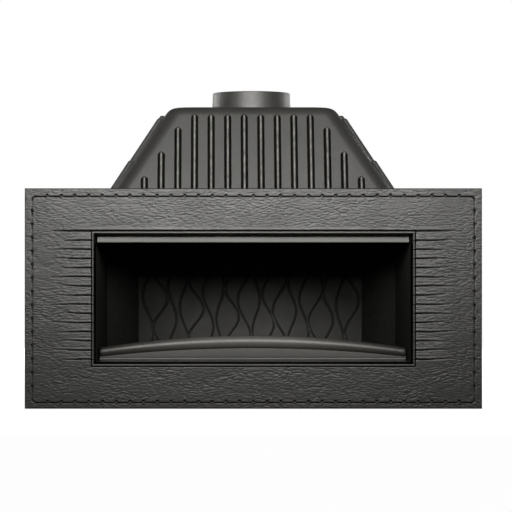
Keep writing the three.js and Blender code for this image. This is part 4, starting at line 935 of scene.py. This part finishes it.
hood_rings += [hood_ring(HOOD_WALL, roof, INNER_CROWN, roof - INNER_CROWN * share) for share in (0, 0.3, 1)]
hood_rings += [hood_ring(HOOD_WALL, roof, INNER_CROWN, HOOD_FOOT)]
hood_shell = face_outwards(ring_piece("hood_shell", hood_rings))
crease(hood_shell, 40)
settle(hood_shell, body_iron, stands_for=["hood"])

# %% [markdown]
# Sixteen ribs stand on the hood's front, as many on its back, and ten on each side, and the body walls carry
# upright ribs at the same pitch. A rib is long, flared at its foot and rounded at its upper end, and near a
# slanting edge it stops short. That is a rule, so one Geometry Nodes tree makes every row: a line of points, a
# straight curve on each, its length worked out from its place, and a profile swept along it that shrinks to
# nothing at the end. The face's slope turns the finished row into place.

# %% The rib's cross-section
RIB_PITCH, RIB_HEIGHT = 36.9, 10.5
RIB_END = 7.5
RIB_OUTLINE = [(8.6, -0.9), (8.2, 0.0), (7.0, 0.3), (6.1, 0.9), (5.5, 2.0), (4.9, 4.0), (4.1, 6.4), (3.3, 8.3),
               (2.3, 9.5), (1.2, 10.2), (0.0, RIB_HEIGHT)]


def rib_profile():
    curve = bpy.data.curves.new("rib_profile", "CURVE")
    curve.dimensions = "3D"
    outline = RIB_OUTLINE + [(-x, y) for x, y in reversed(RIB_OUTLINE[:-1])]
    spline = curve.splines.new("POLY")
    spline.points.add(len(outline) - 1)
    for point, (x, y) in zip(spline.points, outline):
        point.co = (x * MM, y * MM, 0, 1)
    spline.use_cyclic_u = True
    profile = bpy.data.objects.new("rib_profile", curve)
    bpy.context.scene.collection.objects.link(profile)
    return profile


print("rib outline:", len(RIB_OUTLINE), "points a side")

# %% Geometry Nodes: one row of ribs
RIB_STATIONS = 14

rib_row = bpy.data.node_groups.new("rib_row", "GeometryNodeTree")
for label, kind in {"Profile": "Object", "Ribs": "Int", "Pitch": "Float", "Start": "Float", "Highest": "Float",
                    "Edge top": "Float", "Edge half": "Float", "Edge slope": "Float", "Stretch": "Float",
                    "Round end": "Float", "Finish": "Material"}.items():
    rib_row.interface.new_socket(name=label, in_out="INPUT", socket_type="NodeSocket" + kind)
rib_row.interface.new_socket(name="Geometry", in_out="OUTPUT", socket_type="NodeSocketGeometry")
given = rib_row.nodes.new("NodeGroupInput").outputs
place = parts_of(rib_row, put(rib_row, "GeometryNodeInputPosition").outputs[0])


def ribs_do(operation, a, b=None):
    return reckon(rib_row, operation, a, b)


def ribs_put(kind, inputs=None, **settings):
    return put(rib_row, kind, inputs, **settings).outputs[0]


first_x = ribs_do("MULTIPLY", ribs_do("MULTIPLY", ribs_do("SUBTRACT", given["Ribs"], 1), -0.5), given["Pitch"])
feet = ribs_put("GeometryNodeMeshLine", {
    "Count": given["Ribs"], "Start Location": ribs_put("ShaderNodeCombineXYZ", {"X": first_x}),
    "Offset": ribs_put("ShaderNodeCombineXYZ", {"X": given["Pitch"]})}, mode="OFFSET")
beyond_edge = ribs_do("DIVIDE", ribs_do("SUBTRACT", ribs_do("ABSOLUTE", place["X"]), given["Edge half"]),
                      given["Edge slope"])
rib_end = ribs_do("MINIMUM", ribs_do("SUBTRACT", given["Edge top"], beyond_edge), given["Highest"])
rib_length = ribs_do("MULTIPLY", ribs_do("SUBTRACT", rib_end, given["Start"]), given["Stretch"])
unit_line = ribs_put("GeometryNodeCurvePrimitiveLine", {"End": (0, 0, 1)})
stations = ribs_put("GeometryNodeResampleCurve", {"Curve": unit_line, "Count": RIB_STATIONS})
planted = ribs_put("GeometryNodeInstanceOnPoints", {
    "Points": feet, "Instance": stations,
    "Scale": ribs_put("ShaderNodeCombineXYZ", {"X": 1.0, "Y": 1.0, "Z": rib_length})})
single = ribs_put("GeometryNodeRealizeInstances", {"Geometry": planted})
print("tree:", rib_row.name, "rows and lengths")

# %% Geometry Nodes: round the upper end, sweep the profile and mark the crests
STRAIGHT_STATIONS, END_STATIONS, END_SHARE = 3, 10, 0.985
CREST_LOW, CREST_HIGH, CREST_MARKS = 7.8, 10.35, (-0.75, 0.8)

station = put(rib_row, "GeometryNodeSplineParameter").outputs["Index"]
past_straight = ribs_do("MAXIMUM", ribs_do("SUBTRACT", station, STRAIGHT_STATIONS), 0.0)
end_turn = ribs_do("MULTIPLY", past_straight, math.pi / 2 / END_STATIONS * END_SHARE)
straight_share = ribs_do("MINIMUM", ribs_do("DIVIDE", station, STRAIGHT_STATIONS), 1.0)
straight_length = ribs_do("SUBTRACT", ribs_put("GeometryNodeSplineLength"), given["Round end"])
height = ribs_do("ADD", ribs_do("MULTIPLY", straight_length, straight_share),
                 ribs_do("MULTIPLY", ribs_do("SINE", end_turn), given["Round end"]))
new_place = ribs_put("ShaderNodeCombineXYZ", {"X": place["X"], "Y": place["Y"], "Z": height})
spread = ribs_put("GeometryNodeSetPosition", {"Geometry": single, "Position": new_place})
upright = ribs_put("GeometryNodeSetCurveNormal", {"Curve": spread})
outline = put(rib_row, "GeometryNodeObjectInfo", {"Object": given["Profile"]}).outputs["Geometry"]
swept = ribs_put("GeometryNodeCurveToMesh", {"Curve": upright, "Profile Curve": outline,
                                             "Scale": ribs_do("COSINE", end_turn), "Fill Caps": True})
# Up the rib's height the crest value runs from dark at the foot to bright at the top: painted shade on the
# flanks, painted highlight on the crest.
crest_mark = span(rib_row, place["Y"], CREST_LOW * MM, CREST_HIGH * MM, *CREST_MARKS)
marked = ribs_put("GeometryNodeStoreNamedAttribute", {"Geometry": swept, "Value": crest_mark, "Name": "crest"},
                  data_type="FLOAT", domain="POINT")
painted = ribs_put("GeometryNodeSetMaterial", {"Geometry": marked, "Material": given["Finish"]})
put(rib_row, "NodeGroupOutput", {0: painted})


def grow(name, tree, values):
    holder = bpy.data.objects.new(name + "_seed", bpy.data.meshes.new(name + "_seed"))
    bpy.context.scene.collection.objects.link(holder)
    modifier = holder.modifiers.new("rule", "NODES")
    modifier.node_group = tree
    for item in tree.interface.items_tree:
        if item.in_out == "INPUT" and item.name in values:
            modifier[item.identifier] = values[item.name]
    evaluated = holder.evaluated_get(bpy.context.evaluated_depsgraph_get())
    mesh = bpy.data.meshes.new_from_object(evaluated)
    mesh.name = name
    bpy.data.objects.remove(holder)
    return mesh


print("tree:", rib_row.name, "profile and end")

# %% [markdown]
# The tree lays a row flat, with x across the face, y outwards and z along the rib. To stand on a sloping face
# the row is turned once: its y to the face's own outward direction, and its z up the slope.

# %% Lay a row of ribs on a face
def join_meshes(name, meshes, smooth_degrees=40):
    bm = bmesh.new()
    for mesh in meshes:
        bm.from_mesh(mesh)
    joined = bpy.data.meshes.new(name)
    bm.to_mesh(joined)
    bm.free()
    piece = bpy.data.objects.new(name, joined)
    bpy.context.scene.collection.objects.link(piece)
    return crease(face_outwards(piece), smooth_degrees)


def rib_rows(ribs, outward, foot_out, slope, start, highest, edge=(0, 1e4, 1.0)):
    mesh = grow("row", rib_row, {
        "Profile": profile, "Ribs": ribs, "Pitch": RIB_PITCH * MM, "Start": start * MM,
        "Highest": highest * MM, "Edge top": edge[0] * MM, "Edge half": edge[1] * MM, "Edge slope": edge[2],
        "Stretch": math.sqrt(1 + slope ** 2), "Round end": RIB_END * MM, "Finish": rib_iron})
    outward = Vector(outward)
    out = (outward + Vector((0, 0, slope))).normalized()
    up = (Vector((0, 0, 1)) - outward * slope).normalized()
    side = out.cross(up)
    turn = Matrix((side, out, up)).transposed().to_4x4()
    place = Vector((0, BODY_MIDDLE_Y, start)) + outward * foot_out
    mesh.transform(Matrix.Translation(place * MM) @ turn)
    return mesh


RIB_START, RIB_HIGHEST = HOOD_FOOT + HOOD_FLANGE - 1, HOOD_TOP - 18.5
FRONT_RIBS, SIDE_RIBS = 16, 10
FRONT_MARGIN, SIDE_MARGIN = 49.0, 38.0
profile = rib_profile()
front_foot = HOOD_TOP_HALF_DEPTH + FRONT_SLOPE * (HOOD_TOP - RIB_START)
side_foot = HOOD_TOP_HALF + SIDE_SLOPE * (HOOD_TOP - RIB_START)
front_edge = (HOOD_TOP, HOOD_TOP_HALF - FRONT_MARGIN, SIDE_SLOPE)
side_edge = (HOOD_TOP, HOOD_TOP_HALF_DEPTH - SIDE_MARGIN, FRONT_SLOPE)
hood_rows = [rib_rows(FRONT_RIBS, (0, way, 0), front_foot, FRONT_SLOPE, RIB_START, RIB_HIGHEST, front_edge)
             for way in (-1, 1)]
side_rows = [rib_rows(SIDE_RIBS, (way, 0, 0), side_foot, SIDE_SLOPE, RIB_START, RIB_HIGHEST, side_edge)
             for way in (-1, 1)]
settle(join_meshes("hood_ribs", hood_rows), rib_iron, stands_for=["hood"])
settle(join_meshes("hood_side_ribs", side_rows), body_iron, stands_for=["hood"])

# %% [markdown]
# The body's walls are flat castings with upright ribs and a ledge inside that carries the hearth plate. Their
# edges are slightly rounded, as sand-cast edges are, so each plate is a box with bevelled edges and never a
# sharp block.

# %% The body's walls
WALL, WALL_FOOT, WALL_TOP = 8.0, 30.0, 400.0
BODY_INNER_HALF = BODY_HALF - WALL
BODY_FRONT_Y, BODY_BACK_Y = -213.85, 230.15
LEDGE_TOP, LEDGE_HIGH, LEDGE_REACH = 88.7, 10.0, 14.0


def soft_box(low, high, bevel=1.2, segments=2):
    bm = bmesh.new()
    bmesh.ops.create_cube(bm, size=1)
    low, high = Vector(low) * MM, Vector(high) * MM
    for vert in bm.verts:
        vert.co = Vector(low[i] if vert.co[i] < 0 else high[i] for i in range(3))
    bmesh.ops.bevel(bm, geom=list(bm.edges), offset=bevel * MM, segments=segments, profile=0.5, affect="EDGES")
    mesh = bpy.data.meshes.new("soft_box")
    bm.to_mesh(mesh)
    bm.free()
    return mesh


WALL_RIB_START, WALL_RIB_TOP = 38.0, 392.0
for side, side_name in ((-1, "left"), (1, "right")):
    x_low, x_high = sorted((side * BODY_INNER_HALF, side * BODY_HALF))
    ledge_low, ledge_high = sorted((side * (BODY_INNER_HALF - LEDGE_REACH), side * (BODY_INNER_HALF + 1)))
    parts = [soft_box((x_low, BODY_FRONT_Y, WALL_FOOT), (x_high, BODY_BACK_Y, WALL_TOP)),
             soft_box((ledge_low, BODY_FRONT_Y + WALL + 2 * LEDGE_HIGH, LEDGE_TOP - LEDGE_HIGH),
                      (ledge_high, BODY_BACK_Y - WALL - 2 * LEDGE_HIGH, LEDGE_TOP)),
             rib_rows(SIDE_RIBS, (side, 0, 0), BODY_HALF, 0.0, WALL_RIB_START, WALL_RIB_TOP)]
    settle(join_meshes(f"side_casting_{side_name}", parts), body_iron,
           stands_for=[f"side_wall_{side_name}"])
back_half = BODY_INNER_HALF - 0.3
back_ledge = back_half - 2 * LEDGE_REACH
back_parts = [soft_box((-back_half, BODY_BACK_Y - WALL, WALL_FOOT), (back_half, BODY_BACK_Y, WALL_TOP)),
              soft_box((-back_ledge, BODY_BACK_Y - WALL - LEDGE_REACH, LEDGE_TOP - LEDGE_HIGH),
                       (back_ledge, BODY_BACK_Y - WALL + 1, LEDGE_TOP)),
              rib_rows(FRONT_RIBS, (0, 1, 0), BODY_BACK_Y - BODY_MIDDLE_Y, 0.0, WALL_RIB_START, WALL_RIB_TOP)]
settle(join_meshes("back_casting", back_parts), body_iron, stands_for=["back_wall"])
bpy.data.objects.remove(profile)

# %% [markdown]
# The flue collar is a turned ring: one outline, carried once round the flue's axis. A fine step makes it look
# round from close by, where the working solid has forty flats.

# %% A small lathe
def circle(radius, centre_x, centre_y, z, sides):
    turns = np.linspace(0, 2 * np.pi, sides, endpoint=False)
    x, y = centre_x + radius * np.cos(turns), centre_y + radius * np.sin(turns)
    return np.stack([x, y, np.full(sides, z)], 1)


def lathe(name, outline, centre_y, sides=96):
    return face_outwards(ring_piece(name, [circle(radius, 0, centre_y, z, sides) for radius, z in outline]))


def rounded(outline, radius, steps=3):
    points = []
    for place, point in enumerate(outline):
        here, before, after = (np.array(p, float) for p in (point, outline[place - 1],
                               outline[(place + 1) % len(outline)]))
        back, ahead = before - here, after - here
        reach = min(radius, 0.45 * np.linalg.norm(back), 0.45 * np.linalg.norm(ahead))
        start, end = here + back / np.linalg.norm(back) * reach, here + ahead / np.linalg.norm(ahead) * reach
        for share in np.linspace(0, 1, steps + 1):
            points.append((1 - share) ** 2 * start + 2 * share * (1 - share) * here + share ** 2 * end)
    return points

# %% The flue collar
COLLAR_RADIUS, COLLAR_RIM, COLLAR_BORE, COLLAR_TOP = 90.0, 88.2, 82.7, 708.0
SPIGOT_RADIUS, SPIGOT_FOOT = 88.5, 599.5
COLLAR_FLANGE, FLANGE_LOW, FLANGE_HIGH = 104.0, 651.9, 659.9
collar_outline = rounded([
    (COLLAR_BORE, SPIGOT_FOOT), (SPIGOT_RADIUS, SPIGOT_FOOT), (SPIGOT_RADIUS, FLANGE_LOW),
    (COLLAR_FLANGE, FLANGE_LOW), (COLLAR_FLANGE, FLANGE_HIGH), (COLLAR_RADIUS, FLANGE_HIGH),
    (COLLAR_RADIUS, HOOD_TOP), (COLLAR_RIM, COLLAR_TOP - 1), (COLLAR_RIM - 1, COLLAR_TOP),
    (COLLAR_BORE, COLLAR_TOP)], 1.2)
collar = lathe("flue_collar_ring", collar_outline, BODY_MIDDLE_Y)
crease(collar, 40)
settle(collar, body_iron, stands_for=["flue_collar"])

# %% [markdown]
# The lintel is one profile drawn along the mouth's width. Only its nose shows, as a bright strip under the
# facade's upper edge: it stands right behind the facade and faces the lamp, and its finish is painted much
# paler than the other iron, painted light that brightens the strip further.

# %% The lintel over the fire
LIP_FRONT, LINTEL_FRONT, LINTEL_WALL, LINTEL_FOOT, LIP_TOP = -213.55, -203.35, 8.0, 365.5, 381.0
LINTEL_HALF, SHELF_HALF = 342.0, 351.2
SHELF_FOOT, SHELF_TOP, SHELF_BACK = 398.6, 403.6, -163.35
lintel_back = LINTEL_FRONT + LINTEL_WALL
lintel_outline = rounded([
    (LINTEL_FRONT, SHELF_TOP), (LINTEL_FRONT, LIP_TOP), (LIP_FRONT, LIP_TOP), (LIP_FRONT, LINTEL_FOOT),
    (lintel_back, LINTEL_FOOT), (lintel_back, SHELF_TOP)], 2.6, 5)
shelf = soft_box((-SHELF_HALF, LINTEL_FRONT + 1, SHELF_FOOT), (SHELF_HALF, SHELF_BACK, SHELF_TOP - 0.05), 1.0)
nose = sweep("lintel_nose", [[(x, y, z) for y, z in lintel_outline]
                             for x in np.linspace(-LINTEL_HALF, LINTEL_HALF, 12)])
lintel = join_meshes("lintel_casting", [nose.data, shelf])
bpy.data.objects.remove(nose)
settle(lintel, lintel_iron, stands_for=["lintel"])

# %% [markdown]
# Four ears beside the hood's flange take the tie rods. An ear is a ring of two outlines with the same number of
# points: a round nose that runs on into straight cheeks, and the bore.

# %% The hood's ears
EAR_RADIUS, EAR_REACH, EAR_X, EAR_BORE, EAR_SIDES = 14.0, 42.5, 376.5, 4.5, 48
EAR_LOW, EAR_HIGH = HOOD_FOOT, HOOD_FOOT + HOOD_FLANGE
EAR_PLACES = [(side, y) for side in (-1, 1) for y in (-179.85, 196.15)]


def ear_ring(side, y, inset, z):
    turns = np.linspace(0, 2 * np.pi, EAR_SIDES, endpoint=False)
    reach = EAR_RADIUS - inset
    across, along = np.sin(turns), np.cos(turns)
    to_cheek = reach / np.maximum(np.abs(across), 1e-6)
    inward = np.minimum(to_cheek, (EAR_REACH - inset) / np.maximum(-along, 1e-6))
    distance = np.where(along >= 0, reach, inward)
    return np.stack([side * (EAR_X + distance * along), y + distance * across, np.full(EAR_SIDES, z)], 1)


def bore_ring(side, y, radius, z):
    return circle(radius, EAR_X, y, z, EAR_SIDES) * (side, 1, 1)


ears = []
for side, y in EAR_PLACES:
    rings = [ear_ring(side, y, inset, z) for inset, z in ((1, EAR_LOW), (0, EAR_LOW + 1), (0, EAR_HIGH - 1),
                                                          (1, EAR_HIGH))]
    rings += [bore_ring(side, y, EAR_BORE + more, z) for more, z in ((0.6, EAR_HIGH), (0, EAR_HIGH - 0.6),
                                                                     (0, EAR_LOW))]
    ears.append(face_outwards(ring_piece("ear", rings)))
settle(join_meshes("hood_ears", [ear.data for ear in ears]), body_iron, stands_for=["hood"])
for ear in ears:
    bpy.data.objects.remove(ear)

# %% [markdown]
# The guard stands on two feet behind its web, each with a peg that sits in the hearth plate.

# %% The guard's feet
GUARD_FOOT_X, GUARD_FOOT_HALF, GUARD_FOOT_BACK, GUARD_FOOT_HIGH = 250.0, 13.0, -134.65, 8.0
PEG_RADIUS, PEG_END, PEG_Y, PEG_SIDES = 5.0, 95.0, -139.65, 24
foot_parts = []
for foot_x in (-GUARD_FOOT_X, GUARD_FOOT_X):
    foot_parts.append(soft_box((foot_x - GUARD_FOOT_HALF, WEB_BACK - 1, GUARD_FOOT),
                               (foot_x + GUARD_FOOT_HALF, GUARD_FOOT_BACK, GUARD_FOOT + GUARD_FOOT_HIGH)))
    peg = sweep("peg", [circle(radius, foot_x, PEG_Y, z, PEG_SIDES) for radius, z in (
        (PEG_RADIUS - 0.8, PEG_END), (PEG_RADIUS, PEG_END + 0.8), (PEG_RADIUS, GUARD_FOOT + 1))])
    foot_parts.append(peg.data)
    bpy.data.objects.remove(peg)
settle(join_meshes("log_guard_feet", foot_parts), guard_iron, "guard", ["log_guard"])

# %% [markdown]
# The small castings and the hardware are plain shapes whose edges were only a little rounded by the mould or by
# filing. For them a piece starts as the working solid's own outline: flat neighbours are merged and every sharp
# edge gets a small bevel, so each catches the light as a real edge does. Where a bevel would leave the mesh open
# or eat into the part, the working solid itself stays visible and takes the finish.

# %% Soften the edges of the plain castings and the hardware
FLAT_ANGLE, LEAST_VOLUME, MOST_VOLUME = 2.0, 0.93, 1.001


def softened(node, material, slot, body, bevel, sharp=35.0):
    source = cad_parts[node]
    bm = bmesh.new()
    bm.from_mesh(source.data)
    bm.transform(source.matrix_world)
    bmesh.ops.remove_doubles(bm, verts=bm.verts[:], dist=1e-6)
    before = abs(bm.calc_volume())
    bmesh.ops.dissolve_limit(bm, angle_limit=math.radians(FLAT_ANGLE), verts=bm.verts[:], edges=bm.edges[:])
    edges = [e for e in bm.edges if len(e.link_faces) == 2 and e.calc_face_angle(0) > math.radians(sharp)]
    bmesh.ops.bevel(bm, geom=edges, offset=bevel * MM, segments=2, profile=0.5, affect="EDGES",
                    clamp_overlap=True)
    bmesh.ops.triangulate(bm, faces=bm.faces[:])
    bmesh.ops.remove_doubles(bm, verts=bm.verts[:], dist=1e-7)
    closed = all(len(e.link_faces) == 2 for e in bm.edges)
    kept_volume = abs(bm.calc_volume()) / before
    mesh = bpy.data.meshes.new("soft_" + node)
    bm.to_mesh(mesh)
    bm.free()
    if not closed or not LEAST_VOLUME < kept_volume < MOST_VOLUME:
        print("kept sharp:", node, closed, round(kept_volume, 4))
        source.data.materials.clear()
        source.data.materials.append(material)
        return False
    piece = bpy.data.objects.new("soft_" + node, mesh)
    bpy.context.scene.collection.objects.link(piece)
    settle(crease(face_outwards(piece), 40), material, body, [node])
    return True


SOFTENED = {
    "foot_": (body_iron, "body_iron", "insert", 1.0),
    "front_": (body_iron, "body_iron", "insert", 1.0),
    "facade_bracket": (steel, "steel", "insert", 0.6),
    "tie_rod": (steel, "steel", "insert", 0.5),
    "collar_bolt": (steel, "steel", "insert", 0.4),
    "hearth_plate": (lining_iron, "lining_iron", "insert", 1.0),
    "ash_box": (lining_iron, "lining_iron", "insert", 0.5),
    "ash_pan": (lining_iron, "lining_iron", "pan", 0.4),
    "fire_grate": (lining_iron, "lining_iron", "grate", 0.8),
    "fireback_clip": (lining_iron, "lining_iron", "insert", 0.6),
    # The side liners and cheeks take the darker copy of the lining iron: painted shade.
    "side_liner": (shaded_lining_iron, "lining_iron", "insert", 1.0),
    "cheek": (shaded_lining_iron, "lining_iron", "insert", 1.0),
    "damper_flap": (body_iron, "body_iron", "damper", 0.6),
    "damper_spindle": (steel, "steel", "damper", 0.5),
    "damper_crank": (steel, "steel", "damper", 0.5),
    "damper_pull_rod": (steel, "steel", "damper_rod", 0.4, 50),
}
soft_count = 0
for node in sorted(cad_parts):
    plan = next((plan for start, plan in SOFTENED.items() if node.startswith(start)), None)
    if plan:
        soft_count += softened(node, *plan)
print("softened", soft_count, "pieces")

# %% [markdown]
# Two rope seals keep smoke in: a long one in the joint under the hood, and a ring under the collar's flange.
# Glass-fibre rope is braided, so its surface is a row of small slanting lobes. The lobes are real geometry here:
# the rope's outline swells and shrinks along its length, and the swelling moves round the section as it goes.

# %% Rope seals
SEAL_WIDTH, SEAL_PLAY = 6.0, 0.02
ROPE_LOBE, ROPE_SWELL, ROPE_SIDES, ROPE_SQUARENESS = 6.0, 0.22, 12, 0.6
SEAL_POINTS, GASKET_POINTS, GASKET_GAP = (420, 260), 640, 2.0

def rope_rings(path_at, width, low, high):
    rings = []
    for turn in 2 * np.pi * np.arange(ROPE_SIDES) / ROPE_SIDES:
        across, up = (np.sign(part) * np.abs(part) ** ROPE_SQUARENESS for part in (np.cos(turn), np.sin(turn)))
        path = path_at(width / 2 * (1 - across))
        travelled = np.concatenate([[0], np.cumsum(np.linalg.norm(np.diff(path[:, :2], axis=0), axis=1))])
        swell = ROPE_SWELL * (1 + np.sin(2 * np.pi * travelled / ROPE_LOBE + 2 * turn)) / 2
        path[:, 2] = (low + high) / 2 + up * ((high - low) / 2 - swell)
        rings.append(path)
    return rings


def seal_path(inset):
    half_x, half_y = seal_half[0] - inset, seal_half[1] - inset
    corners = np.array([(-half_x, -half_y, 0), (half_x, -half_y, 0), (half_x, half_y, 0), (-half_x, half_y, 0)])
    sides = [np.linspace(start, end, count, endpoint=False)
             for start, end, count in zip(corners, np.roll(corners, -1, axis=0), 2 * SEAL_POINTS)]
    return np.concatenate(sides) + (0, BODY_MIDDLE_Y, 0)


def gasket_path(inset):
    return circle(gasket_outer - inset, 0, BODY_MIDDLE_Y, 0, GASKET_POINTS)


seal_box = node_box("hood_seal")
seal_half = (seal_box[1] - seal_box[0])[:2] / 2
gasket_box = node_box("collar_gasket")
gasket_outer = (gasket_box[1] - gasket_box[0])[0] / 2
gasket_width = gasket_outer - SPIGOT_RADIUS - GASKET_GAP
for rope_name, path_at, width, box in (("hood_seal_rope", seal_path, SEAL_WIDTH, seal_box),
                                       ("collar_gasket_rope", gasket_path, gasket_width, gasket_box)):
    low, high = box[0][2] + SEAL_PLAY, box[1][2] - SEAL_PLAY
    seal = face_outwards(ring_piece(rope_name, rope_rings(path_at, width, low, high)))
    settle(crease(seal, 60), rope, stands_for=[rope_name.replace("_rope", "")])
